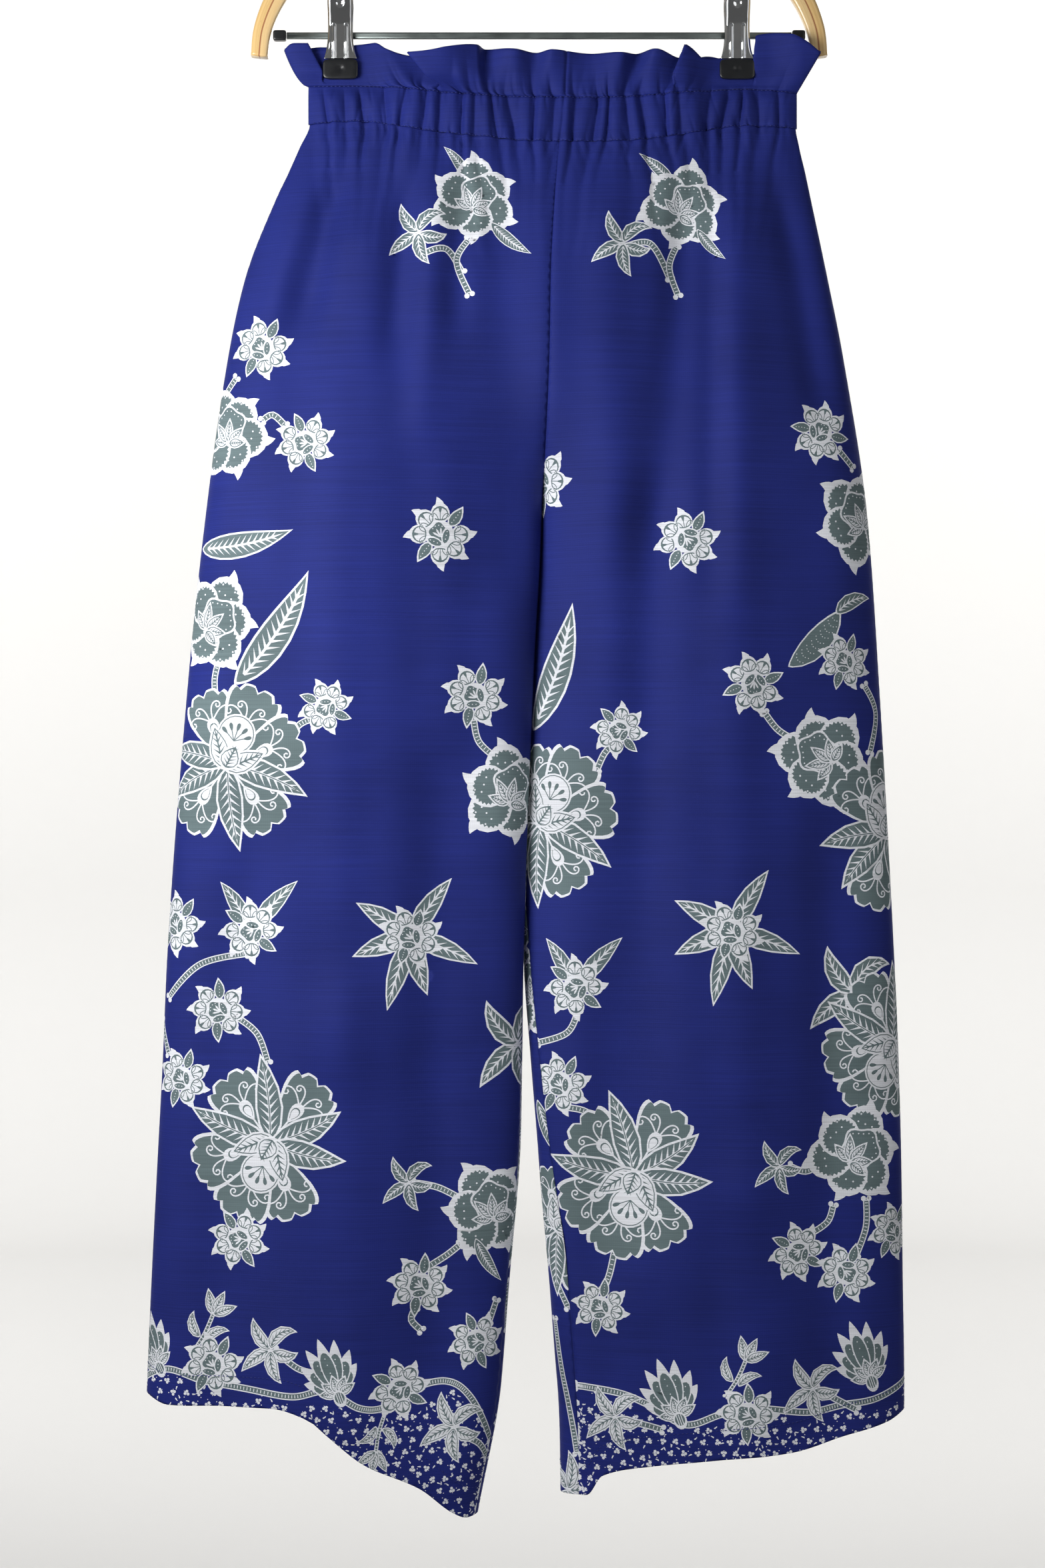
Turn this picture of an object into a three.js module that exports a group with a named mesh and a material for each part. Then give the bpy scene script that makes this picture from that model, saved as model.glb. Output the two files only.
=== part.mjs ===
// Wide-leg lounge pants with a gathered paper-bag waist, hung by two clips from a wooden hanger.
// Millimetres, +Z up, X to the viewer's right, -Y towards the viewer. The origin is the inside top of
// the hanger's hook, where it sits on a rail. A "drop" is a distance below the middle of the clip bar.
import * as THREE from "three";
import { mergeVertices } from "three/addons/utils/BufferGeometryUtils.js";

// Driving dimensions
const BAR_DROP = 175; // hook's seat down to the middle of the clip bar
const CLOTH = 1.4; // one cloth wall: the leg panels, a single layer
const FOLDED_CLOTH = 1.1; // the frill at its free edge, cloth doubled over
const TUNNEL = 2.2; // the waist tunnel: two layers with the elastic between
const SEAM_GAP = 0.3; // clearance between neighbouring solids
const ROUNDNESS = 0.8; // under 1 makes a ring's front and back fuller than an ellipse
const RELIEF_REACH = 1.6; // how soon folds come up to their full height, going in from a seam
const SIDE_MARGIN = 0.012; // radians of a ring left open at a side seam or inseam
const CENTRE_MARGIN = 0.0004; // and at a centre seam
const CROTCH_DROP = 343;
const FORK_START_DROP = 205; // where the centre seams begin to turn under
const INNER_CLEARANCE = 0.2; // added to the cloth's thickness between the legs' touching edges
const WAIST_DROP = 70; // nominal lower stitch line of the waist tunnel
const HEM_DROP = 1000; // nominal hem
const WAIST_SETTLED_DROP = 200; // below this the rows no longer follow the waist's sag
const HEM_SETTLED_DROP = 700; // above this they don't yet follow the hem's
const WAIST_LEFT = -163;
const WAIST_RIGHT = 182;
const GATHERS = 26; // across the front waist, and as many across the back
const GATHER_HEIGHT = 3;
const GATHER_FADE = 34; // how far below the tunnel a gather has faded to a third
const BACK_HEM_LIFT = 6; // the back hem hides behind the front one
const CLIP_X = [-140.5, 140];
const FLAT_HALF = 14; // half-width that a clip presses flat
const FLAT_FADE = 34; // beyond that, how far until the cloth is open again
// How hard front and back are held together, by drop: fully in the clip's jaws, then letting go.
const PRESS = [
  { drop: 35, hold: 1 },
  { drop: 44, hold: 0.6 },
  { drop: 64, hold: 0.45 },
  { drop: 150, hold: 0 },
];
const IRONED = { from: 35, to: 47 }; // drops between which gathers return below a clip's jaws

// The body's outline from the front. half is half the front-to-back depth.
const LEVELS = [
  { drop: 20, left: -163, centre: 19, right: 182, half: 12 },
  { drop: 62, left: -162, centre: 16.5, right: 181, half: 12 },
  { drop: 80, left: -165, centre: 14, right: 184, half: 15 },
  { drop: 116, left: -186, centre: 11, right: 192, half: 23 },
  { drop: 173, left: -208, centre: 8, right: 204, half: 31 },
  { drop: 229, left: -220, centre: 7, right: 215, half: 36 },
  { drop: 343, left: -236, centre: 1.5, right: 232, half: 40 },
  { drop: 456, left: -248, centre: -5, right: 240, half: 38 },
  { drop: 654, left: -263, centre: -11, right: 251, half: 34 },
  { drop: 724, left: -266, centre: -9, right: 254, half: 33 },
  { drop: 800, left: -270, centre: -7, right: 256, half: 32 },
  { drop: 880, left: -274, centre: -7, right: 257, half: 32 },
  { drop: 950, left: -277, centre: -7, right: 258, half: 33 },
  { drop: 1045, left: -280, centre: -14, right: 258, half: 34 },
];

// The space between the two legs' inner edges, beside their centre line.
const LEG_GAP = [
  { drop: 343, gap: 0 },
  { drop: 600, gap: 0 },
  { drop: 654, gap: 2 },
  { drop: 724, gap: 8 },
  { drop: 800, gap: 16 },
  { drop: 880, gap: 30 },
  { drop: 950, gap: 41 },
  { drop: 1045, gap: 61 },
];

// How far round from a leg's inner edge the inseam has turned to the front, in radians of its ring.
const INSEAM_TURN = [
  { drop: 343, left: 0, right: 0 },
  { drop: 560, left: 0.04, right: 0.06 },
  { drop: 654, left: 0.08, right: 0.26 },
  { drop: 775, left: 0.12, right: 0.35 },
  { drop: 864, left: 0.15, right: 0.46 },
  { drop: 1045, left: 0.18, right: 0.46 },
];

// The two stitch lines of the waist tunnel, which the clips hold up at the ends.
const STITCHES = [
  { x: -163, upper: 36, lower: 63 },
  { x: -130, upper: 36, lower: 61.5 },
  { x: -87, upper: 40, lower: 68 },
  { x: -40, upper: 44.3, lower: 74 },
  { x: 5, upper: 46, lower: 77.5 },
  { x: 50, upper: 46, lower: 77.5 },
  { x: 95, upper: 42.5, lower: 73 },
  { x: 143, upper: 38.5, lower: 65 },
  { x: 182, upper: 41, lower: 66 },
];

// The hem from the front: each leg hangs lowest at its inseam.
const HEM = [
  { x: -280, drop: 958 },
  { x: -262, drop: 965 },
  { x: -190, drop: 965 },
  { x: -165, drop: 972 },
  { x: -148, drop: 985 },
  { x: -120, drop: 1005 },
  { x: -80, drop: 1022 },
  { x: -45, drop: 1042 },
  { x: -14, drop: 1038 },
  { x: 16, drop: 1029 },
  { x: 33, drop: 1028 },
  { x: 44, drop: 1014 },
  { x: 70, drop: 1007 },
  { x: 135, drop: 1000 },
  { x: 175, drop: 996 },
  { x: 215, drop: 985 },
  { x: 245, drop: 977 },
  { x: 258, drop: 970 },
];

// The frill above the tunnel: its free edge, and how far each wave leans out (+) or in (-). foot is how
// far along the waist a wave's foot stands from its edge, where the wave folds over sideways.
const FRILL_FRONT = [
  { x: -163, edge: 9, lean: 0, foot: 0 },
  { x: -150, edge: 9, lean: 5, foot: 0 },
  { x: -140, edge: 8, lean: 0, foot: 0 },
  { x: -121, edge: 6, lean: 8, foot: 0 },
  { x: -110, edge: 14, lean: -4, foot: 22 },
  { x: -102, edge: 17, lean: 10, foot: 22 },
  { x: -72, edge: 12.5, lean: 13, foot: 8 },
  { x: -50, edge: 11, lean: 10, foot: 0 },
  { x: -40, edge: 12, lean: -4, foot: 0 },
  { x: -14, edge: 14, lean: 8, foot: 0 },
  { x: 4, edge: 13, lean: -2, foot: 0 },
  { x: 18, edge: 13.5, lean: 6, foot: 0 },
  { x: 38, edge: 15.5, lean: -4, foot: 0 },
  { x: 64, edge: 14.5, lean: 9, foot: 0 },
  { x: 92, edge: 16, lean: -3, foot: 0 },
  { x: 103, edge: 17, lean: 4, foot: -8 },
  { x: 110, edge: 9.5, lean: 11, foot: -6 },
  { x: 117, edge: 16.5, lean: 2, foot: 0 },
  { x: 140, edge: 12, lean: 0, foot: 0 },
  { x: 158, edge: 5, lean: 9, foot: 0 },
  { x: 172, edge: 5, lean: 2, foot: 0 },
  { x: 182, edge: 14, lean: 0, foot: 0 },
];
const FRILL_BACK = [
  { x: -163, edge: 9, lean: 0, foot: 0 },
  { x: -152, edge: 9, lean: 4, foot: 0 },
  { x: -140, edge: 8, lean: 0, foot: 0 },
  { x: -124, edge: 9, lean: 8, foot: 0 },
  { x: -104, edge: 18, lean: -4, foot: 0 },
  { x: -76, edge: 16, lean: 11, foot: 0 },
  { x: -50, edge: 14, lean: -5, foot: 0 },
  { x: -24, edge: 15, lean: 9, foot: 0 },
  { x: -2, edge: 12, lean: -4, foot: 0 },
  { x: 17, edge: 7.5, lean: 8, foot: 0 },
  { x: 38, edge: 16, lean: -6, foot: 0 },
  { x: 55, edge: 10, lean: 8, foot: 0 },
  { x: 80, edge: 16.5, lean: -5, foot: 0 },
  { x: 108, edge: 14, lean: 9, foot: 0 },
  { x: 124, edge: 17, lean: 2, foot: 0 },
  { x: 140, edge: 13, lean: 0, foot: 0 },
  { x: 156, edge: 7, lean: 8, foot: 0 },
  { x: 170, edge: 7, lean: 2, foot: 0 },
  { x: 182, edge: 14, lean: 0, foot: 0 },
];
const FRILL_FLARE = { left: 15, right: 16 }; // how far the frill's ends spread past the waist
// The frill's right end passes in front of the hanger's arm: how far forward, over which places,
// how soon above the stitches, and how much flatter it is folded there.
const FRILL_END = { swing: 13, from: 160, to: 186, rise: 0.7, flatten: 0.6 };
const FRILL_ROWS = [0, 0.15, 0.45, 0.75, 1]; // shares of its height; the second is at the clips' boots
const FRILL_COLUMNS = 52;
const TUNNEL_ROWS = [0, 0.33, 0.67, 1];
const ELASTIC_BULGE = 1.2; // the elastic rounds the tunnel out between its stitches
const END_COLUMN = 0.004; // an extra column this share of the width in from each side seam
const LEAST_COLUMN = 0.012; // gathers nearer than this to a panel's edge get no column of their own

// Hanging folds. x1 and drop1 are a fold's upper end, x2 and drop2 its lower end, width the half-width
// of the fold, and height is + for a ridge and - for a valley.
const FRONT_FOLDS = [
  { x1: -137, drop1: 76, x2: -170, drop2: 230, width: 13, height: -7 },
  { x1: -155, drop1: 78, x2: -206, drop2: 260, width: 12, height: 4 },
  { x1: -122, drop1: 90, x2: -134, drop2: 760, width: 36, height: 5 },
  { x1: -95, drop1: 76, x2: -104, drop2: 260, width: 11, height: -5 },
  { x1: -72, drop1: 78, x2: -84, drop2: 320, width: 12, height: 4 },
  { x1: -52, drop1: 76, x2: -60, drop2: 240, width: 10, height: -4 },
  { x1: -31, drop1: 84, x2: -16, drop2: 420, width: 22, height: -5 },
  { x1: 46, drop1: 84, x2: 44, drop2: 420, width: 22, height: 4 },
  { x1: 107, drop1: 84, x2: 78, drop2: 400, width: 18, height: -8 },
  { x1: 84, drop1: 290, x2: 50, drop2: 900, width: 26, height: -7 },
  { x1: 122, drop1: 80, x2: 120, drop2: 420, width: 11, height: -5 },
  { x1: 141, drop1: 84, x2: 143, drop2: 860, width: 24, height: 5 },
  { x1: 163, drop1: 76, x2: 206, drop2: 300, width: 12, height: -6 },
  { x1: -212, drop1: 560, x2: -222, drop2: 1020, width: 24, height: -5 },
  { x1: -134, drop1: 640, x2: -146, drop2: 1030, width: 34, height: 5 },
  { x1: -66, drop1: 480, x2: -78, drop2: 1030, width: 26, height: -4 },
  { x1: 148, drop1: 760, x2: 150, drop2: 1020, width: 32, height: 4 },
  { x1: 204, drop1: 520, x2: 206, drop2: 1010, width: 26, height: -4 },
];
const BACK_FOLDS = [
  { x1: -140, drop1: 76, x2: -172, drop2: 260, width: 12, height: -8 },
  { x1: -110, drop1: 80, x2: -128, drop2: 640, width: 26, height: 6 },
  { x1: -84, drop1: 76, x2: -92, drop2: 340, width: 12, height: -6 },
  { x1: -48, drop1: 80, x2: -60, drop2: 420, width: 16, height: 4 },
  { x1: -14, drop1: 78, x2: -20, drop2: 280, width: 12, height: -5 },
  { x1: 40, drop1: 80, x2: 60, drop2: 520, width: 20, height: 5 },
  { x1: 74, drop1: 80, x2: 92, drop2: 480, width: 13, height: -7 },
  { x1: 104, drop1: 84, x2: 122, drop2: 700, width: 18, height: 5 },
  { x1: 142, drop1: 76, x2: 176, drop2: 320, width: 12, height: -8 },
  { x1: -170, drop1: 420, x2: -196, drop2: 1000, width: 22, height: -7 },
  { x1: -96, drop1: 480, x2: -88, drop2: 1010, width: 20, height: 6 },
  { x1: -44, drop1: 560, x2: -54, drop2: 1000, width: 14, height: -5 },
  { x1: 90, drop1: 480, x2: 74, drop2: 1000, width: 18, height: -7 },
  { x1: 150, drop1: 420, x2: 166, drop2: 1000, width: 24, height: 6 },
  { x1: 206, drop1: 520, x2: 212, drop2: 980, width: 16, height: -6 },
];
const FOLD_FADE = 60; // a fold swells and dies away over this length at most

// Rows of the leg panels, as nominal drops. The first ones are close together, for the gathers.
const GATHERED_ROWS = [WAIST_DROP, 84, 100, 120];
const OPEN_ROWS = [
  148, 185, 222, 256, 286, 310, 328, 343, 366, 410, 470, 540, 615, 690, 765, 840, 910, 962, HEM_DROP,
];
const OPEN_COLUMNS = 20;

// The hanger
const ARM_DEPTH = 11;
const ARM_PATH = [
  { x: 0, rise: 104, height: 25 },
  { x: 50, rise: 99, height: 22 },
  { x: 104, rise: 86, height: 19 },
  { x: 148, rise: 65, height: 16.5 },
  { x: 174, rise: 43, height: 15.5 },
  { x: 187, rise: 25, height: 14.5 },
  { x: 195.5, rise: 4, height: 13 },
  { x: 198, rise: -15, height: 12 },
];
const BAR = { halfLength: 178.6, height: 4.5, depth: 3, corner: 0.8, edge: 0.5 };
const CAP = { length: 9.4, height: 7.2, depth: 6.4, corner: 1, edge: 0.8 };
const HOOK = { wire: 1.9, bend: 21, stemTop: 48, foot: 58.1, from: -62, to: 196 }; // from and to in degrees

// A clip: sprung plates that pass either side of the bar, each ending in a rubber boot
const PLATE = { thickness: 1.1 };
const RIB = { x: 4.3, foot: 1.3, crest: 0.6, height: 0.9, top: 6, bottom: -17 };
const PLATE_ROWS = [
  { rise: 33, half: 4.2, away: 14.5 },
  { rise: 31.5, half: 6.6, away: 14 },
  { rise: 28, half: 8.2, away: 12.8 },
  { rise: 21, half: 8.6, away: 10.6 },
  { rise: 12, half: 8.4, away: 7.8 },
  { rise: 5, half: 8.4, away: 5.9 },
  { rise: -4, half: 8.8, away: 5.6 },
  { rise: -11, half: 9.8, away: 4.6 },
  { rise: -17.2, half: 11.6, away: 3.9 },
];
const BOOT = { half: 12.4, top: 17.5, bottom: 31.6, depth: 4.2, corner: 1.6, edge: 0.6 };
const SPRING = { outer: 4.6, inner: 3.1, length: 13 };

// Interpolation: a smooth curve through a table's rows, never overshooting between them.
function along(table, key, at, column) {
  const last = table.length - 1;
  if (at <= table[0][key]) return table[0][column];
  if (at >= table[last][key]) return table[last][column];
  let i = 0;
  while (at > table[i + 1][key]) i += 1;
  const slope = (a, b) => (table[b][column] - table[a][column]) / (table[b][key] - table[a][key]);
  const tangent = (k) => {
    if (k === 0) return slope(0, 1);
    if (k === last) return slope(last - 1, last);
    const before = slope(k - 1, k);
    const after = slope(k, k + 1);
    return before * after <= 0 ? 0 : (2 * before * after) / (before + after);
  };
  const span = table[i + 1][key] - table[i][key];
  const s = (at - table[i][key]) / span;
  const blend = s * s * (3 - 2 * s);
  const level = table[i][column] * (1 - blend) + table[i + 1][column] * blend;
  const rise = s * (1 - s) * span * ((1 - s) * tangent(i) - s * tangent(i + 1));
  return level + rise;
}

const smooth = (low, high, at) => THREE.MathUtils.smoothstep(at, low, high);

// How far a leg has closed into its own ring: 0 in the body, 1 from the crotch down.
const closure = (drop) => smooth(FORK_START_DROP, CROTCH_DROP, drop);

// How near a clip a place is: 1 in its width, 0 well beside it.
function clipped(x) {
  const beside = Math.min(...CLIP_X.map((clip) => Math.abs(x - clip)));
  return 1 - smooth(FLAT_HALF, FLAT_HALF + FLAT_FADE, beside);
}
const pressed = (x, drop) => clipped(x) * along(PRESS, "drop", drop, "hold");
// How much of the gathers is left: they are ironed out in the jaws only.
const unironed = (x, drop) => 1 - clipped(x) * (1 - smooth(IRONED.from, IRONED.to, drop));

// Gathers: peaks and valleys in turn across the waist, unevenly spaced and of uneven height.
const GATHER_PLACES = Array.from({ length: 2 * GATHERS + 1 }, (_, k) => {
  const wander = 0.26 * Math.sin(1.7 * k) + 0.16 * Math.sin(0.9 * k + 1);
  const ends = Math.min(1, k, 2 * GATHERS - k);
  return (k + wander * ends) / (2 * GATHERS);
});
const gatherHeight = (k) => (k % 2 ? 1 : -1) * (0.66 + 0.34 * Math.sin(2.3 * k + 1));
function gather(x) {
  const f = THREE.MathUtils.clamp((x - WAIST_LEFT) / (WAIST_RIGHT - WAIST_LEFT), 0, 1);
  let k = 0;
  while (k < 2 * GATHERS - 1 && GATHER_PLACES[k + 1] < f) k += 1;
  const s = (f - GATHER_PLACES[k]) / (GATHER_PLACES[k + 1] - GATHER_PLACES[k]);
  return THREE.MathUtils.lerp(gatherHeight(k), gatherHeight(k + 1), s);
}

// The sum of the hanging folds at a place.
function foldsAt(folds, x, drop) {
  let sum = 0;
  for (const f of folds) {
    const down = (drop - f.drop1) / (f.drop2 - f.drop1);
    if (down <= 0 || down >= 1) continue;
    const middle = f.x1 + (f.x2 - f.x1) * down;
    const off = (x - middle) / (f.width * (0.7 + 0.5 * down));
    const fade = Math.min(FOLD_FADE / (f.drop2 - f.drop1), 0.3);
    sum += f.height * Math.exp(-off * off) * smooth(0, fade, down) * (1 - smooth(1 - fade, 1, down));
  }
  return sum;
}

// The plan of one side at a drop: its outer and inner edges, the angle of the ring at which it ends,
// a quarter turn in the body and a half turn in the leg, and how far the inseam has turned forwards.
function plan(side, drop) {
  const sideName = side < 0 ? "left" : "right";
  const end = (Math.PI / 2) * (1 + closure(drop));
  const touching = SEAM_GAP + (CLOTH + INNER_CLEARANCE) * Math.abs(Math.cos(end));
  const gap = Math.max(touching, along(LEG_GAP, "drop", drop, "gap"));
  return {
    end,
    outer: along(LEVELS, "drop", drop, sideName),
    inner: along(LEVELS, "drop", drop, "centre") + (side * gap) / 2,
    turn: along(INSEAM_TURN, "drop", drop, sideName),
  };
}

// A leg panel's mid-surface at t, 0 at the side seam and 1 at the centre seam or inseam, and its
// outward direction. side is -1 for the viewer's left and 1 for the right; face is 1 at the front.
function panelPoint(side, face, t, level) {
  const margin = level < CROTCH_DROP ? CENTRE_MARGIN : SIDE_MARGIN;
  const angleIn = (ring) => SIDE_MARGIN + t * (ring.end - face * ring.turn - SIDE_MARGIN - margin);
  const across = (ring, angle) => (1 - Math.cos(angle)) / (1 - Math.cos(ring.end));
  const xIn = (ring) => THREE.MathUtils.lerp(ring.outer, ring.inner, across(ring, angleIn(ring)));

  // Nominal rows are level; the real ones follow the waist's stitch line and the hem.
  const waistX = xIn(plan(side, WAIST_DROP));
  const hemRing = plan(side, HEM_DROP);
  const lift = face > 0 ? 0 : BACK_HEM_LIFT * Math.max(0, Math.sin(angleIn(hemRing)));
  const waistShift = along(STITCHES, "x", waistX, "lower") + SEAM_GAP - WAIST_DROP;
  const hemShift = along(HEM, "x", xIn(hemRing), "drop") - lift - HEM_DROP;
  const nearWaist = 1 - smooth(WAIST_DROP, WAIST_SETTLED_DROP, level);
  const nearHem = smooth(HEM_SETTLED_DROP, HEM_DROP, level);
  const drop = level + waistShift * nearWaist + hemShift * nearHem;

  const ring = plan(side, drop);
  const angle = angleIn(ring);
  const sine = Math.sin(angle);
  const x = xIn(ring);
  const half = along(LEVELS, "drop", drop, "half");
  const open = 1 - pressed(x, drop);
  const reach = Math.min(1, RELIEF_REACH * Math.abs(sine));
  const gathers = GATHER_HEIGHT * gather(x) * Math.exp(-(drop - WAIST_DROP) / GATHER_FADE);
  const folds = foldsAt(face > 0 ? FRONT_FOLDS : BACK_FOLDS, x, drop) * open;
  const flat = CLOTH * (1 - open);
  const away = half * Math.abs(sine) ** ROUNDNESS * open + (flat + folds + gathers) * reach;

  // The direction square to the ring, level with the ground.
  const run = ((ring.inner - ring.outer) * sine) / (1 - Math.cos(ring.end));
  const slope = half * ROUNDNESS * Math.abs(sine) ** (ROUNDNESS - 1) * Math.cos(angle);
  const normal = new THREE.Vector2(side * slope, face * side * run).normalize();
  return { x, y: -face * Math.sign(sine) * away, z: -BAR_DROP - drop, nx: normal.x, ny: normal.y };
}

// Stitches triangles between two rows of points that may differ in number.
function zip(faces, upper, lower, flip) {
  let i = 0;
  let j = 0;
  while (i < upper.length - 1 || j < lower.length - 1) {
    const nextUpper = i < upper.length - 1 ? upper[i + 1].t : Infinity;
    const nextLower = j < lower.length - 1 ? lower[j + 1].t : Infinity;
    const tri =
      nextUpper <= nextLower
        ? [upper[i].point, lower[j].point, upper[i + 1].point]
        : [upper[i].point, lower[j].point, lower[j + 1].point];
    if (nextUpper <= nextLower) i += 1;
    else j += 1;
    faces.push(flip ? [tri[0], tri[2], tri[1]] : tri);
  }
}

// A closed wall from rows of { t, outer, inner }: two skins joined round all four edges.
function wall(rows) {
  const faces = [];
  const skin = (row, key) => row.map((p) => ({ t: p.t, point: p[key] }));
  for (let r = 0; r < rows.length - 1; r += 1) {
    zip(faces, skin(rows[r], "outer"), skin(rows[r + 1], "outer"), false);
    zip(faces, skin(rows[r], "inner"), skin(rows[r + 1], "inner"), true);
    const ends = [
      [rows[r][0], rows[r + 1][0]],
      [rows[r + 1].at(-1), rows[r].at(-1)],
    ];
    for (const [a, b] of ends) faces.push([a.outer, a.inner, b.inner], [a.outer, b.inner, b.outer]);
  }
  const top = rows[0];
  const bottom = rows.at(-1);
  zip(faces, skin(top, "inner"), skin(top, "outer"), false);
  zip(faces, skin(bottom, "outer"), skin(bottom, "inner"), false);
  return solid(faces);
}

// A geometry of triangles whose faces are turned outwards, whichever way they were listed.
function solid(faces) {
  let volume = 0;
  for (const [a, b, c] of faces) volume += a.clone().cross(b).dot(c) / 6;
  const corners = faces.flatMap(([a, b, c]) => (volume < 0 ? [a, c, b] : [a, b, c]));
  const geometry = new THREE.BufferGeometry().setFromPoints(corners);
  const merged = mergeVertices(geometry, 1e-4);
  merged.computeVertexNormals();
  return merged;
}

// The two skins of a wall at a mid-surface point.
function skins(t, p, thickness) {
  const reach = thickness / 2;
  return {
    t,
    outer: new THREE.Vector3(p.x + p.nx * reach, p.y + p.ny * reach, p.z),
    inner: new THREE.Vector3(p.x - p.nx * reach, p.y - p.ny * reach, p.z),
  };
}

// Column places that fall on every gather's peak and valley, close together at the side seam.
function gatheredColumns(from, to, ends) {
  const places = [0];
  for (const place of GATHER_PLACES) {
    const f = (place - from) / (to - from);
    if (f > LEAST_COLUMN && f < 1 - LEAST_COLUMN) places.push(f);
  }
  places.push(1);
  for (const f of ends) places.push(f);
  return [...new Set(places)].sort((a, b) => a - b);
}

function legPanel(side, face) {
  const centre = (LEVELS[1].centre - WAIST_LEFT) / (WAIST_RIGHT - WAIST_LEFT);
  const near = 1.5 * END_COLUMN;
  const shares = side < 0 ? gatheredColumns(0, centre, [near]) : gatheredColumns(centre, 1, [1 - near]);
  // A share of the width is turned into a share of the quarter ring.
  const gathered = shares
    .map((f) => (side < 0 ? f : 1 - f))
    .map((f) => Math.acos(1 - f) / (Math.PI / 2))
    .sort((a, b) => a - b);
  const open = Array.from({ length: OPEN_COLUMNS + 1 }, (_, k) => k / OPEN_COLUMNS);
  const rowAt = (level, columns) => columns.map((t) => skins(t, panelPoint(side, face, t, level), CLOTH));
  const rows = [
    ...GATHERED_ROWS.map((level) => rowAt(level, gathered)),
    ...OPEN_ROWS.map((level) => rowAt(level, open)),
  ];
  return wall(rows);
}

// The waist's ring, from the left side seam to the right one. f is the share of the width.
function waistPoint(face, f, drop, spread, relief, stack) {
  const left = WAIST_LEFT - spread * FRILL_FLARE.left;
  const right = WAIST_RIGHT + spread * FRILL_FLARE.right;
  const sine = 2 * Math.sqrt(Math.max(0, f * (1 - f)));
  const x = left + (right - left) * f;
  const tip = smooth(FRILL_END.from, FRILL_END.to, x);
  const swing = FRILL_END.swing * tip * spread ** FRILL_END.rise;
  const half = along(LEVELS, "drop", drop, "half") * (1 - FRILL_END.flatten * tip * spread);
  const fullness = sine ** ROUNDNESS;
  const open = 1 - pressed(x, drop);
  const closed = stack / 2 + SEAM_GAP / 2;
  const reach = Math.min(1, RELIEF_REACH * sine) * unironed(x, drop);
  const away = Math.max(closed, closed + (half * fullness - closed) * open + relief(x) * reach);
  const run = (right - left) * sine;
  const slope = half * ROUNDNESS * 2 * Math.max(sine, 1e-3) ** (ROUNDNESS - 1) * (1 - 2 * f);
  const normal = new THREE.Vector2(-slope, -run).normalize();
  return { x, y: -face * away - swing, z: -BAR_DROP - drop, nx: normal.x, ny: face * normal.y };
}

function waistTunnel(face) {
  const columns = gatheredColumns(0, 1, [END_COLUMN, 1 - END_COLUMN]);
  const rows = TUNNEL_ROWS.map((down) =>
    columns.map((f) => {
      const x = WAIST_LEFT + (WAIST_RIGHT - WAIST_LEFT) * f;
      const upper = along(STITCHES, "x", x, "upper") + SEAM_GAP;
      const lower = along(STITCHES, "x", x, "lower");
      const drop = upper + (lower - upper) * down;
      const bulge = ELASTIC_BULGE * Math.sin(Math.PI * down);
      const point = waistPoint(face, f, drop, 0, () => GATHER_HEIGHT * gather(x) + bulge, TUNNEL);
      return skins(f, point, TUNNEL);
    }),
  );
  return wall(rows);
}

function waistFrill(face) {
  const table = face > 0 ? FRILL_FRONT : FRILL_BACK;
  const columns = Array.from({ length: FRILL_COLUMNS + 1 }, (_, k) => k / FRILL_COLUMNS);
  columns.push(END_COLUMN, 1 - END_COLUMN);
  columns.sort((a, b) => a - b);
  const rows = FRILL_ROWS.map((up) =>
    columns.map((f) => {
      const x = WAIST_LEFT + (WAIST_RIGHT - WAIST_LEFT) * f;
      const upper = along(STITCHES, "x", x, "upper");
      const drop = upper + (along(table, "x", x, "edge") - upper) * up;
      const edgeX = x - along(table, "x", x, "foot") * (1 - up);
      const lean = along(table, "x", edgeX, "lean") * up;
      const seated = GATHER_HEIGHT * gather(x) * (1 - up) ** 2;
      const point = waistPoint(face, f, drop, up, () => lean + seated, FOLDED_CLOTH);
      return skins(f, point, FOLDED_CLOTH);
    }),
  );
  return wall(rows);
}

// The hanger's bowed wooden arms: one outline, worked out from the centre line, cut from a board.
function hangerArms() {
  const curve = new THREE.SplineCurve(ARM_PATH.map((p) => new THREE.Vector2(p.x, p.rise)));
  const steps = 18;
  const upper = [];
  const lower = [];
  for (let i = 0; i <= steps; i += 1) {
    const s = i / steps;
    const at = curve.getPoint(s);
    const tangent = curve.getTangent(s);
    const span = s * (ARM_PATH.length - 1);
    const k = Math.min(Math.floor(span), ARM_PATH.length - 2);
    const height = THREE.MathUtils.lerp(ARM_PATH[k].height, ARM_PATH[k + 1].height, span - k);
    const across = i === 0 ? new THREE.Vector2(0, 1) : new THREE.Vector2(-tangent.y, tangent.x);
    upper.push(at.clone().addScaledVector(across, height / 2));
    lower.push(at.clone().addScaledVector(across, -height / 2));
  }
  const mirror = (points) => points.slice(1).map((p) => new THREE.Vector2(-p.x, p.y));
  const outline = [...mirror(upper).reverse(), ...upper, ...[...lower].reverse(), ...mirror(lower)];
  const bevel = 1.5;
  const shape = new THREE.Shape(outline);
  const geometry = new THREE.ExtrudeGeometry(shape, {
    depth: ARM_DEPTH - 2 * bevel,
    bevelEnabled: true,
    bevelThickness: bevel,
    bevelSize: bevel,
    bevelOffset: -bevel,
    bevelSegments: 1,
  });
  geometry.translate(0, 0, -ARM_DEPTH / 2 + bevel);
  geometry.rotateX(Math.PI / 2);
  geometry.translate(0, 0, -BAR_DROP);
  return geometry;
}

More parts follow.
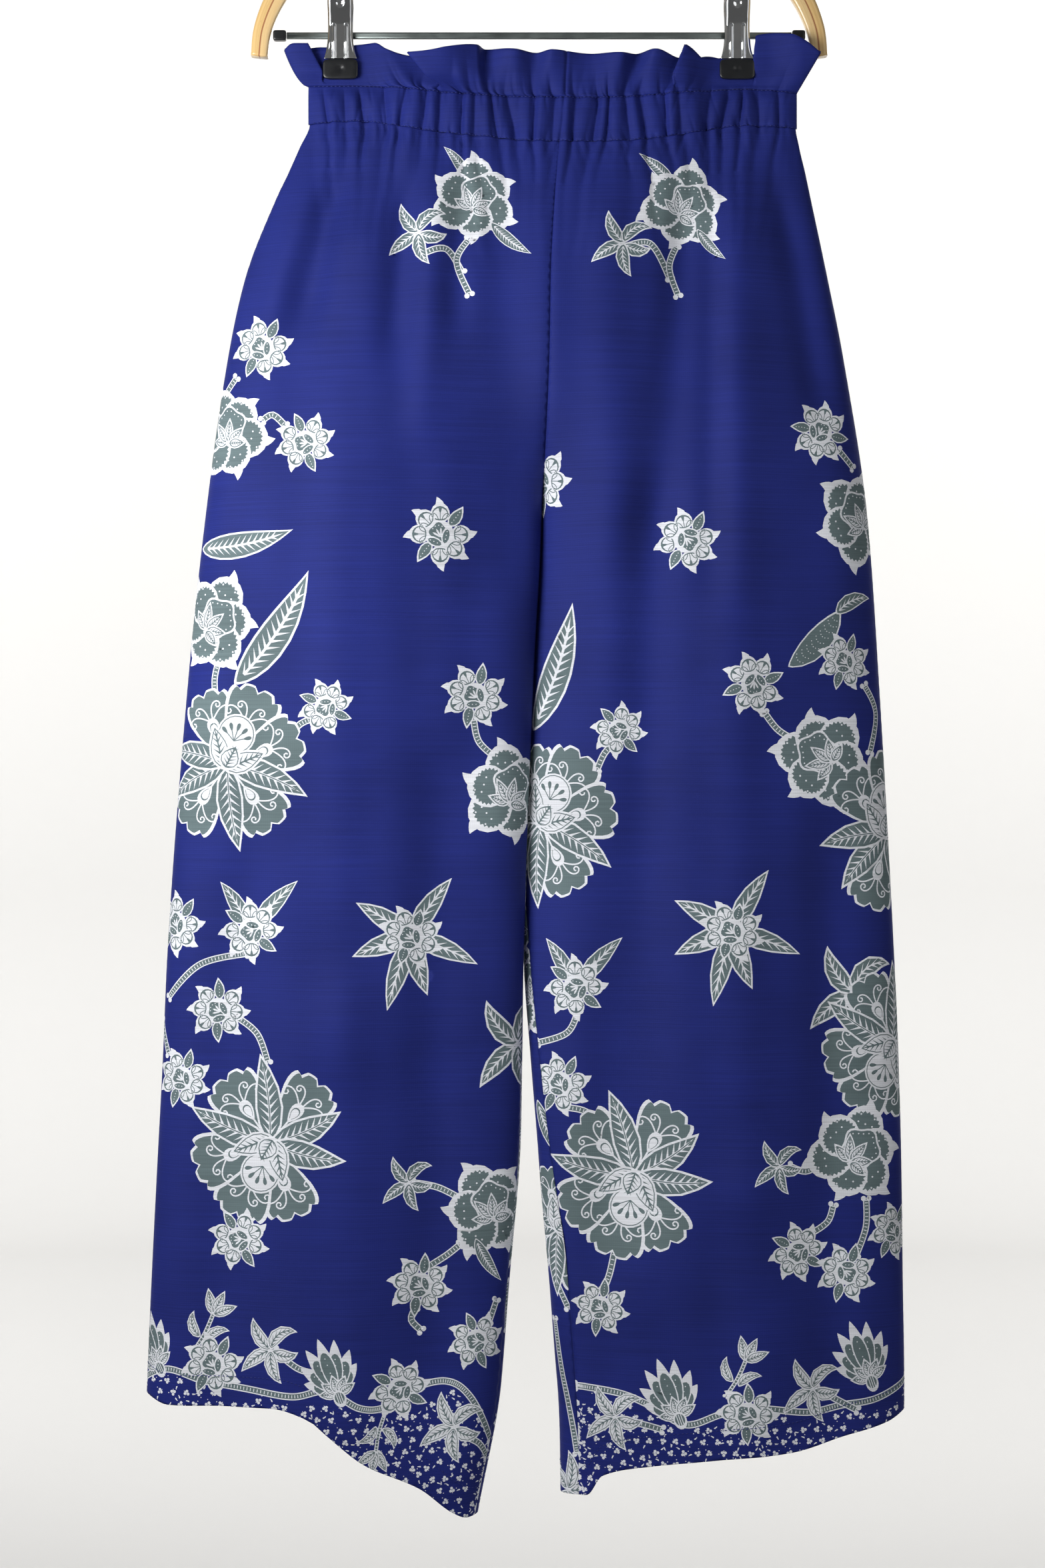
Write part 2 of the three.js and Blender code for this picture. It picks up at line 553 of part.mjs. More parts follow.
// The hook: a stem that rises from the neck, swings aside and turns over the rail.
function hangerHook() {
  const centreZ = -(HOOK.bend - HOOK.wire);
  const points = [new THREE.Vector3(0, 0, -HOOK.foot), new THREE.Vector3(0, 0, -HOOK.stemTop)];
  const arcSteps = 10;
  for (let i = 0; i <= arcSteps; i += 1) {
    const angle = THREE.MathUtils.degToRad(THREE.MathUtils.lerp(HOOK.from, HOOK.to, i / arcSteps));
    points.push(new THREE.Vector3(HOOK.bend * Math.cos(angle), 0, centreZ + HOOK.bend * Math.sin(angle)));
  }
  const section = new THREE.Shape();
  section.absarc(0, 0, HOOK.wire, 0, 2 * Math.PI, false);
  return new THREE.ExtrudeGeometry(section, {
    steps: 32,
    curveSegments: 5,
    bevelEnabled: false,
    extrudePath: new THREE.CatmullRomCurve3(points),
  });
}

// A board with rounded corners and softened edges, lying in the XZ plane and centred on its depth.
function roundedBoard(halfWidth, halfHeight, depth, corner, edge) {
  const w = halfWidth - corner;
  const h = halfHeight - corner;
  const shape = new THREE.Shape();
  shape.absarc(w, h, corner, 0, Math.PI / 2, false);
  shape.absarc(-w, h, corner, Math.PI / 2, Math.PI, false);
  shape.absarc(-w, -h, corner, Math.PI, 1.5 * Math.PI, false);
  shape.absarc(w, -h, corner, 1.5 * Math.PI, 2 * Math.PI, false);
  shape.closePath();
  const geometry = new THREE.ExtrudeGeometry(shape, {
    depth: depth - 2 * edge,
    curveSegments: 2,
    bevelEnabled: true,
    bevelThickness: edge,
    bevelSize: edge,
    bevelOffset: -edge,
    bevelSegments: 1,
  });
  geometry.translate(0, 0, -depth / 2 + edge);
  geometry.rotateX(Math.PI / 2);
  return geometry;
}

// A clip's sprung plate: bowed away from the bar, with two pressed ribs down its lower half.
const isCrest = (x) => Math.abs(Math.abs(x) - RIB.x) < (RIB.foot + RIB.crest) / 2;
function clipPlate(face) {
  const ribs = [-RIB.x, RIB.x];
  const creases = ribs.flatMap((x) => [x - RIB.foot, x - RIB.crest, x + RIB.crest, x + RIB.foot]);
  const rows = PLATE_ROWS.map((row) => {
    const places = [-row.half, ...creases.filter((x) => Math.abs(x) < row.half), row.half];
    return places.map((x) => {
      const inside = row.rise < RIB.top && row.rise > RIB.bottom;
      const away = row.away + (inside && isCrest(x) ? RIB.height : 0);
      return skins(x, { x, y: -face * away, z: row.rise, nx: 0, ny: -face }, PLATE.thickness);
    });
  });
  return wall(rows);
}

// The spring coil, drawn as its outer shape: a sleeve that rides on the bar.
function clipSpring() {
  const halfLength = SPRING.length / 2;
  const profile = [
    new THREE.Vector2(SPRING.inner, -halfLength),
    new THREE.Vector2(SPRING.outer, -halfLength),
    new THREE.Vector2(SPRING.outer, halfLength),
    new THREE.Vector2(SPRING.inner, halfLength),
    new THREE.Vector2(SPRING.inner, -halfLength),
  ];
  const geometry = new THREE.LatheGeometry(profile, 16);
  geometry.rotateZ(Math.PI / 2);
  return geometry;
}

// Materials, in the photographed colours
const navy = new THREE.MeshStandardMaterial({ color: 0x262c6e, roughness: 0.85, metalness: 0 });
const wood = new THREE.MeshStandardMaterial({ color: 0xe9c98c, roughness: 0.45, metalness: 0 });
const chrome = new THREE.MeshStandardMaterial({ color: 0xc9ccce, roughness: 0.12, metalness: 1 });
const steel = new THREE.MeshStandardMaterial({ color: 0x7d8583, roughness: 0.35, metalness: 1 });
const rubber = new THREE.MeshStandardMaterial({ color: 0x111214, roughness: 0.4, metalness: 0 });

function named(name, geometry, material) {
  const mesh = new THREE.Mesh(geometry, material);
  mesh.name = name;
  return mesh;
}

const part = new THREE.Group();

for (const [sideName, side] of [["left", -1], ["right", 1]]) {
  for (const [faceName, face] of [["front", 1], ["back", -1]]) {
    part.add(named(`${faceName}_${sideName}_leg`, legPanel(side, face), navy));
  }
}
for (const [faceName, face] of [["front", 1], ["back", -1]]) {
  part.add(named(`${faceName}_waist_tunnel`, waistTunnel(face), navy));
  part.add(named(`${faceName}_waist_frill`, waistFrill(face), navy));
}

part.add(named("hanger_arms", hangerArms(), wood));
part.add(named("hanger_hook", hangerHook(), chrome));

const barShape = roundedBoard(BAR.halfLength, BAR.height / 2, BAR.depth, BAR.corner, BAR.edge);
const bar = named("clip_bar", barShape, steel);
bar.position.z = -BAR_DROP;
part.add(bar);
for (const [sideName, side] of [["left", -1], ["right", 1]]) {
  const capShape = roundedBoard(CAP.length / 2, CAP.height / 2, CAP.depth, CAP.corner, CAP.edge);
  const cap = named(`bar_cap_${sideName}`, capShape, rubber);
  cap.position.set(side * (BAR.halfLength + SEAM_GAP + CAP.length / 2), 0, -BAR_DROP);
  part.add(cap);
}

CLIP_X.forEach((x, i) => {
  const clip = new THREE.Group();
  const clipName = ["left", "right"][i];
  clip.position.set(x, 0, -BAR_DROP);
  for (const [faceName, face] of [["front", 1], ["back", -1]]) {
    clip.add(named(`${clipName}_clip_${faceName}_plate`, clipPlate(face), chrome));
    const bootHeight = BOOT.bottom - BOOT.top;
    const bootShape = roundedBoard(BOOT.half, bootHeight / 2, BOOT.depth, BOOT.corner, BOOT.edge);
    const boot = named(`${clipName}_clip_${faceName}_boot`, bootShape, rubber);
    const clothStack = FOLDED_CLOTH + SEAM_GAP / 2;
    boot.position.set(0, -face * (clothStack + SEAM_GAP + BOOT.depth / 2), -(BOOT.top + bootHeight / 2));
    clip.add(boot);
  }
  clip.add(named(`${clipName}_clip_spring`, clipSpring(), chrome));
  part.add(clip);
});

export default part;
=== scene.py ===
"""Wide-leg lounge pants of navy batik rayon, hung by two clips from a wooden hanger.

Sizes are in millimetres in the axes of the frame: X to the viewer's right, -Y towards the viewer, Z up,
with the origin at the inside top of the hanger's hook. A "drop" is a distance below the middle of the
clip bar. Meshes are turned to metres as they are made.
"""

import bpy
import numpy as np
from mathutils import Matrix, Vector
from mathutils.geometry import delaunay_2d_cdt


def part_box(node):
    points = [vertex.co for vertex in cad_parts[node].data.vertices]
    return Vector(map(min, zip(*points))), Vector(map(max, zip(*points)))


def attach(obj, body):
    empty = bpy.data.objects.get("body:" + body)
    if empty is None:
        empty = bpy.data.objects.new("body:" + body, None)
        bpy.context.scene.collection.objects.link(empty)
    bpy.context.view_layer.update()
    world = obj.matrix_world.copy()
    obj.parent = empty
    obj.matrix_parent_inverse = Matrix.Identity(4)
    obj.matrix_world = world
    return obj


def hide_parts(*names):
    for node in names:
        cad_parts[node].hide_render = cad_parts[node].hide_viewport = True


bl_info = {
    "name": "Lounge Pants on a Clip Hanger",
    "version": (1, 0, 0),
    "blender": (4, 5, 0),
    "location": "3D View > Sidebar > Lounge Pants",
    "description": "Builds batik lounge pants, their stitching and the clip hanger that holds them",
    "category": "Object",
}

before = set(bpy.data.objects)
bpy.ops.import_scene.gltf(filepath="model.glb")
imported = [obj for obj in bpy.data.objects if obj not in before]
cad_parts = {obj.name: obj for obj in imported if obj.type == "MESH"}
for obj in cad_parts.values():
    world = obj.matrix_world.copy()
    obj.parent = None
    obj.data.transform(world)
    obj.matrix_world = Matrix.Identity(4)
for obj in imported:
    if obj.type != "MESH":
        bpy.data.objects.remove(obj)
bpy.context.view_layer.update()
MM = 0.001


def node_box(name):
    """A CAD node's lowest and highest corners, in millimetres."""
    low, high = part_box(name)
    return np.array(low) / MM, np.array(high) / MM


def node_middle(name):
    """The middle of a CAD node, in millimetres."""
    return sum(node_box(name)) / 2


def node_half(name):
    """Half of a CAD node's width, depth and height, in millimetres."""
    low, high = node_box(name)
    return (high - low) / 2


BAR_Z = node_middle("clip_bar")[2]
CLIP_X = [node_middle(f"{side}_clip_front_boot")[0] for side in ("left", "right")]


def table(columns, *rows):
    """Rows of numbers under named columns, as a dictionary of arrays."""
    return dict(zip(columns.split(), np.array(rows, float).T))


# The body's outline from the front. half is half the front-to-back depth.
LEVELS = table(
    "drop left centre right half",
    (20, -163, 19, 182, 12),
    (62, -162, 16.5, 181, 12),
    (80, -169.5, 14, 184, 15),
    (97, -177, 12.5, 188, 19),
    (116, -186, 11, 192, 23),
    (173, -208, 8, 204, 31),
    (229, -220, 7, 215, 36),
    (343, -236, 1.5, 232, 40),
    (456, -248, -5, 240, 38),
    (654, -263, -11, 251, 34),
    (724, -266, -9, 254, 33),
    (800, -270, -7, 256, 32),
    (880, -274, -7, 257, 32),
    (950, -277, -7, 258, 33),
    (1045, -280, -14, 258, 34),
)
# The space between the two legs' inner edges.
LEG_GAP = table(
    "drop gap", (343, 0), (600, 0), (654, 2), (724, 8), (800, 16), (880, 30), (950, 41), (1045, 61)
)
# How far each inseam has turned round to the front, in radians of its leg's ring.
INSEAM_TURN = table(
    "drop left right",
    (343, 0, 0),
    (560, 0.04, 0.06),
    (654, 0.08, 0.26),
    (775, 0.12, 0.35),
    (864, 0.15, 0.46),
    (1045, 0.18, 0.46),
)
# The two stitch lines of the waist casing, which the clips hold up at the ends.
STITCHES = table(
    "x upper lower",
    (-163, 36, 63),
    (-130, 36, 61.5),
    (-87, 40, 68),
    (-40, 44.3, 74),
    (5, 46, 77.5),
    (50, 46, 77.5),
    (95, 42.5, 73),
    (143, 38.5, 65),
    (182, 41, 66),
)
# The hem from the front: each leg hangs lowest at its inseam.
HEM = table(
    "x drop",
    (-280, 958),
    (-262, 965),
    (-190, 965),
    (-165, 972),
    (-148, 985),
    (-120, 1005),
    (-80, 1022),
    (-52, 1041),
    (-42, 1045),
    (-14, 1036),
    (16, 1029),
    (33, 1028),
    (44, 1014),
    (70, 1007),
    (135, 1000),
    (175, 996),
    (215, 985),
    (245, 977),
    (258, 970),
)
# How hard the clips hold front and back together, by drop.
PRESS = table("drop hold", (35, 1), (44, 0.6), (64, 0.45), (150, 0))
# The frill's free edge, how far each wave leans out, and how far aside the wave's foot stands.
FRILLS = {
    1: table(
        "x edge lean foot",
        (-163, 11, 3, 0),
        (-158, 7, 4, 0),
        (-152, 7, 5, 0),
        (-147, 12, 3, 0),
        (-138, 9.5, 0, 0),
        (-124, 7.5, 3, 0),
        (-105, 6, 7, 0),
        (-97, 11, 3, 0),
        (-84, 17, 0, 0),
        (-70, 17.5, 9, 0),
        (-58, 14.5, 12, 0),
        (-39, 10.8, 8, 0),
        (-34, 11.5, -4, 0),
        (-14, 13.6, 7, 0),
        (0, 14.6, -2, 0),
        (10, 14, 6, 0),
        (35, 14.7, -5, 0),
        (54, 16, 8, 0),
        (65, 14.5, -4, 0),
        (76, 13.7, 8, 0),
        (92, 17.7, -3, 0),
        (101, 9.4, 9, 0),
        (107, 17.5, 1, 0),
        (122, 15.4, 3, 0),
        (139, 13, 0, 0),
        (143, 3, 3, 0),
        (150, 0, 6, 0),
        (162, 2, 6, 0),
        (172, 7, 2, 0),
        (182, 15, 0, 0),
    ),
    -1: table(
        "x edge lean foot",
        (-163, 9, 0, 0),
        (-152, 9, 4, 0),
        (-140, 8, 0, 0),
        (-124, 9, 8, 0),
        (-104, 18, -4, 0),
        (-76, 16, 11, 0),
        (-50, 14, -5, 0),
        (-24, 15, 9, 0),
        (-6, 16, -4, 0),
        (2, 9, 6, 0),
        (12, 7.5, 9, 0),
        (25, 8, 9, 0),
        (35, 14, -2, 0),
        (42, 14.5, -5, 0),
        (52, 10, 8, 0),
        (62, 13, 3, 0),
        (72, 17, -5, 0),
        (108, 14, 9, 0),
        (124, 17, 2, 0),
        (140, 13, 0, 0),
        (156, 7, 8, 0),
        (170, 7, 2, 0),
        (182, 14, 0, 0),
    ),
}
# Where the frill folds over itself: x at its edge and its foot, width, how far the front layer stands
# out, and 1 if that layer is the right one, -1 if the left.
TUCKS = {
    1: ((-86, -66, 8.5, 6.5, 1), (-167, -151, 4.5, 4, -1), (156, 152, 3.5, 4, 1), (106, 92, 4.5, 3.5, 1)),
    -1: ((-60, -72, 8, 6, -1), (72, 60, 8, 6, 1)),
}
# Hanging folds: upper end, lower end, half-width, and height, + for a ridge and - for a valley.
FOLDS = {
    1: table(
        "x1 drop1 x2 drop2 width height",
        (-137, 76, -170, 230, 13, -7),
        (-155, 78, -206, 260, 12, 4),
        (-122, 90, -134, 760, 36, 5),
        (-95, 76, -104, 260, 11, -5),
        (-72, 78, -84, 320, 12, 4),
        (-52, 76, -60, 240, 10, -4),
        (-31, 84, -16, 420, 22, -5),
        (46, 84, 44, 420, 22, 4),
        (107, 84, 78, 400, 18, -8),
        (84, 290, 50, 900, 26, -7),
        (122, 80, 120, 420, 11, -5),
        (141, 84, 143, 860, 24, 5),
        (163, 76, 206, 300, 12, -6),
        (-212, 560, -222, 1020, 24, -5),
        (-134, 640, -146, 1030, 34, 5),
        (-66, 480, -78, 1030, 26, -4),
        (148, 760, 150, 1020, 32, 4),
        (204, 520, 206, 1010, 26, -4),
    ),
    -1: table(
        "x1 drop1 x2 drop2 width height",
        (-140, 76, -172, 260, 12, -8),
        (-110, 80, -128, 640, 26, 6),
        (-84, 76, -92, 340, 12, -6),
        (-48, 80, -60, 420, 16, 4),
        (-14, 78, -20, 280, 12, -5),
        (40, 80, 60, 520, 20, 5),
        (74, 80, 92, 480, 13, -7),
        (104, 84, 122, 700, 18, 5),
        (142, 76, 176, 320, 12, -8),
        (-170, 420, -196, 1000, 22, -7),
        (-96, 480, -88, 1010, 20, 6),
        (-44, 560, -54, 1000, 14, -5),
        (90, 480, 74, 1000, 18, -7),
        (150, 420, 166, 1000, 24, 6),
        (206, 520, 212, 980, 16, -6),
    ),
}
# The hanger's arm, from the middle to the tip, above the bar.
ARM_PATH = table(
    "x rise height",
    (0, 104, 25),
    (50, 99, 22),
    (104, 86, 19),
    (148, 65, 16.5),
    (174, 43, 15.5),
    (187, 25, 14.5),
    (195.5, 4, 13),
    (198, -15, 12),
)
# A clip's sprung plate, by height above the bar: half-width, and distance out from the bar's middle.
PLATE_ROWS = table(
    "rise half away",
    (-17.2, 11.6, 3.9),
    (-11, 9.8, 4.6),
    (-4, 8.8, 5.6),
    (5, 8.4, 5.9),
    (12, 8.4, 7.8),
    (21, 8.6, 10.6),
    (28, 8.2, 12.8),
    (31.5, 6.6, 14),
    (33, 4.2, 14.5),
)

WAIST_LEFT, WAIST_RIGHT = LEVELS["left"][0], LEVELS["right"][0]
WAIST_DROP, HEM_DROP, CROTCH_DROP = 70, 1000, 343
FORK_START_DROP = 205
WAIST_SETTLED_DROP, HEM_SETTLED_DROP = 200, 700
LEGS_OVERLAP = 1.4  # where the viewer's left leg hangs just in front of the right one
LEG_STAGGER = 5  # how far each leg's inner edge then stands to the front or the back
SEAM_DEPTH, SEAM_WIDTH = 1.5, 1.7
ROUNDNESS = 0.8
RELIEF_REACH = 1.6
PRESSED_STACK = 1.4  # how far out the clips hold the middle of each panel's cloth
GATHERS, GATHER_HEIGHT, GATHER_FADE = 26, 3.0, 34
BACK_HEM_LIFT = 6
HEM_TURN = 21  # from the hem's edge up to its stitching
FLAT_HALF, FLAT_FADE = 14, 34
IRONED_FROM, IRONED_TO = 35, 47
FOLD_FADE = 60
# The cloth's points stand closer in the gathers, and fairly close in the pleats below them.
GATHERED_TO, PLEATED_TO = 102, 160
GATHERED_STEP, PLEATED_STEP, PLEATED_STEP_ACROSS = 1.8, 2.8, 2.9
INNER_COARSENESS = 1.35
SPILL = 1.5  # a shape that covers over this many times its own area, and 1 mm2 more, has spilled
TREFOIL_DROPS, TREFOIL_ROW, TREFOIL_COLUMN, TREFOIL_SIZE = (952, 1050), 8.6, 9.4, 0.74
TREFOIL_EDGES = {"left": (-292, -10), "right": (8, 272)}
DOUBLED_CLOTH = 1.1
PLATE_SHEET = 0.9
# What a maker would cut for what shows of each sheet, in metres.
CASING_FLAT, FRILL_FLAT = (0.46, 0.028), (0.46, 0.031)
BACKWARDS = np.array((0.0, 1.0, 0.0))


def smooth(low, high, at):
    """0 below low, 1 above high, and a smooth S between."""
    s = np.clip((at - low) / (high - low), 0, 1)
    return s * s * (3 - 2 * s)


def along(rows, key, column, at):
    """A smooth curve through a table's rows, level at its turns: cubic pieces whose slope at a row is
    the harmonic mean of the slopes beside it."""
    keys, values = rows[key], rows[column]
    slopes = np.diff(values) / np.diff(keys)
    total = slopes[:-1] + slopes[1:]
    product = slopes[:-1] * slopes[1:]
    inner = np.where(product > 0, 2 * product / np.where(total == 0, 1, total), 0)
    tangents = np.concatenate((slopes[:1], inner, slopes[-1:]))
    at = np.clip(at, keys[0], keys[-1])
    i = np.clip(np.searchsorted(keys, at, side="right") - 1, 0, len(keys) - 2)
    span = keys[i + 1] - keys[i]
    s = (at - keys[i]) / span
    level = values[i] + (values[i + 1] - values[i]) * s * s * (3 - 2 * s)
    return level + s * (1 - s) * span * ((1 - s) * tangents[i] - s * tangents[i + 1])


def clipped(x):
    """How near a clip a place is: 1 within its width, 0 well beside it."""
    beside = np.minimum(np.abs(x - CLIP_X[0]), np.abs(x - CLIP_X[1]))
    return 1 - smooth(FLAT_HALF, FLAT_HALF + FLAT_FADE, beside)


def pressed(x, drop):
    """How hard front and back are held together at a place, 1 in a clip's jaws."""
    return clipped(x) * along(PRESS, "drop", "hold", drop)


def unironed(x, drop):
    """How much of the gathers is left: the jaws iron them out."""
    return 1 - clipped(x) * (1 - smooth(IRONED_FROM, IRONED_TO, drop))


def gather(x):
    """Peaks and valleys in turn across the waist, unevenly spaced and of uneven height, joined by
    quarter sines: round at the peaks, sharp in the valleys. Each k stands at (k + wander) / 2n."""
    k = np.arange(2 * GATHERS + 1)
    ends = np.minimum(1, np.minimum(k, 2 * GATHERS - k))
    places = (k + (0.26 * np.sin(1.7 * k) + 0.16 * np.sin(0.9 * k + 1)) * ends) / (2 * GATHERS)
    heights = np.where(k % 2, 1, -1) * (0.66 + 0.34 * np.sin(2.3 * k + 1))
    share = np.clip((x - WAIST_LEFT) / (WAIST_RIGHT - WAIST_LEFT), 0, 1)
    i = np.clip(np.searchsorted(places, share, side="right") - 1, 0, 2 * GATHERS - 1)
    s = (share - places[i]) / (places[i + 1] - places[i]) * np.pi / 2
    return heights[i] + (heights[i + 1] - heights[i]) * np.where(i % 2, 1 - np.cos(s), np.sin(s))


def slant(x):
    """How far aside each of the casing's gathers stands at its top: some lean left, some right."""
    return 4.2 * np.sin(x / 17) + 2.4 * np.sin(x / 7.1 + 2)


def pleats(x, drop):
    """The gathers as they run down from the stitching: they slant apart and together, so neighbours
    meet in a V, and each dies away at its own drop."""
    below = np.maximum(drop - WAIST_DROP, 0)
    wavy = 0.9 * np.sin(drop / 9 + x / 15) * np.minimum(1, below / 10)
    slanted = x + below * 0.16 * np.sin(x / 21) + wavy
    fade = GATHER_FADE * (1 + 0.35 * np.sin(x / 9.7) + 0.2 * np.sin(x / 4.1))
    fine = 0.35 * np.sin(x / 0.93 + 0.7 * np.sin(drop / 7)) * np.exp(-below / 14)
    return GATHER_HEIGHT * gather(slanted) * np.exp(-below / fade) + fine


def creases(x, below, count, reach):
    """Sharp little creases that run from a line of stitching, where below is 0: each is a narrow bell
    curve across a slanted line, deepest at the stitching and gone by its own length. reach scales
    their lengths, which go from 9 to 46 mm, and a negative below turns them upwards."""
    k = np.arange(count)[:, None]
    start = WAIST_LEFT + (WAIST_RIGHT - WAIST_LEFT) * (k + 0.5 + 0.42 * np.sin(2.7 * k)) / count
    length = reach * (26 + 17 * np.sin(1.9 * k + 0.6) * np.sin(0.7 * k))
    aside = 0.3 * np.sin(3.1 * k + 1)
    width = 1.1 + 0.5 * np.sin(1.3 * k)
    down = np.abs(below)[None] / length
    off = (x[None] - start - aside * np.abs(below)[None]) / (width * (1 + 1.2 * down))
    depth = 0.9 + 0.7 * np.sin(2.3 * k + 2)
    return (-depth * np.exp(-off * off) * np.clip(1 - down, 0, 1) ** 1.3).sum(axis=0)


def folds_at(face, x, drop):
    """The sum of the hanging folds: each is a bell curve across a line that widens as it goes down,
    swelling and dying away at its ends."""
    f = {key: column[:, None] for key, column in FOLDS[face].items()}
    length = f["drop2"] - f["drop1"]
    down = (drop[None] - f["drop1"]) / length
    inside = np.clip(down, 0, 1)
    middle = f["x1"] + (f["x2"] - f["x1"]) * inside
    off = (x[None] - middle) / (f["width"] * (0.7 + 0.5 * inside))
    fade = np.minimum(FOLD_FADE / length, 0.3)
    ends = smooth(0, fade, down) * (1 - smooth(1 - fade, 1, down))
    return (f["height"] * np.exp(-off * off) * ends).sum(axis=0)


def ripples(x, drop):
    """The faint long ripples of cloth that has been folded away: three slow waves, under 1 mm."""
    wave = 0.5 * np.sin(x / 11 + drop / 160) + 0.35 * np.sin(x / 6.3 - drop / 240 + 1)
    return (wave + 0.25 * np.sin(drop / 17 + x / 60)) * smooth(90, 200, drop)


def ring_plan(side, drop):
    """One side's plan at a drop: the angle at which its ring ends, a quarter turn in the body and a
    half turn in the leg, its outer and inner edges, and how far its inseam has turned forwards."""
    edge = "left" if side < 0 else "right"
    end = np.pi / 2 * (1 + smooth(FORK_START_DROP, CROTCH_DROP, drop))
    below_crotch = smooth(CROTCH_DROP - 20, CROTCH_DROP + 60, drop)
    gap = along(LEG_GAP, "drop", "gap", drop) - LEGS_OVERLAP * below_crotch
    outer = along(LEVELS, "drop", edge, drop)
    inner = along(LEVELS, "drop", "centre", drop) + side * gap / 2
    return end, outer, inner, along(INSEAM_TURN, "drop", edge, drop)


def ring_places(side, face, t, drop):
    """x, and the sine of the angle, where t is 0 at the side seam and 1 at the centre seam or inseam,
    as an angle round the ring; x goes with the angle's cosine."""
    end, outer, inner, turn = ring_plan(side, drop)
    angle = t * (end - face * turn)
    share = (1 - np.cos(angle)) / (1 - np.cos(end))
    return outer + (inner - outer) * share, np.sin(angle)


def top_edge(side, face, t):
    """The drop of the panel's upper edge, at the casing's lower stitch line."""
    return along(STITCHES, "x", "lower", ring_places(side, face, t, WAIST_DROP)[0])


def bottom_edge(side, face, t):
    """The drop of the panel's hem. The back hangs a little higher between the seams."""
    x, sine = ring_places(side, face, t, HEM_DROP)
    lift = 0 if face > 0 else BACK_HEM_LIFT * np.maximum(0, sine)
    return along(HEM, "x", "drop", x) - lift


def cloth_points(side, face, t, drop, relief=True):
    """A leg panel's middle surface: the distance out goes with the sine of the ring's angle to the
    power 0.8, and the folds, ripples and gathers are added to it."""
    x, sine = ring_places(side, face, t, drop)
    open_share = 1 - pressed(x, drop)
    half = along(LEVELS, "drop", "half", drop)
    away = half * np.abs(sine) ** ROUNDNESS * open_share
    if relief:
        reach = np.minimum(1, RELIEF_REACH * np.abs(sine))
        shape = (folds_at(face, x, drop) + ripples(x, drop)) * open_share
        seam_x = ring_places(side, face, 1.0, drop)[0]
        seam = SEAM_DEPTH * np.exp(-(((x - seam_x) / SEAM_WIDTH) ** 2))
        below = drop - along(STITCHES, "x", "lower", x)
        shape = shape + pleats(x, drop) - seam + creases(x, below, 90, 1.0)
        away = away + (PRESSED_STACK * (1 - open_share) + shape) * reach
    apart = smooth(0.55, 1, t) * smooth(300, 390, drop) * (1 - smooth(640, 760, drop))
    y = -face * np.sign(sine) * away + side * LEG_STAGGER * apart
    return np.stack((x, y, BAR_Z - drop), axis=-1)


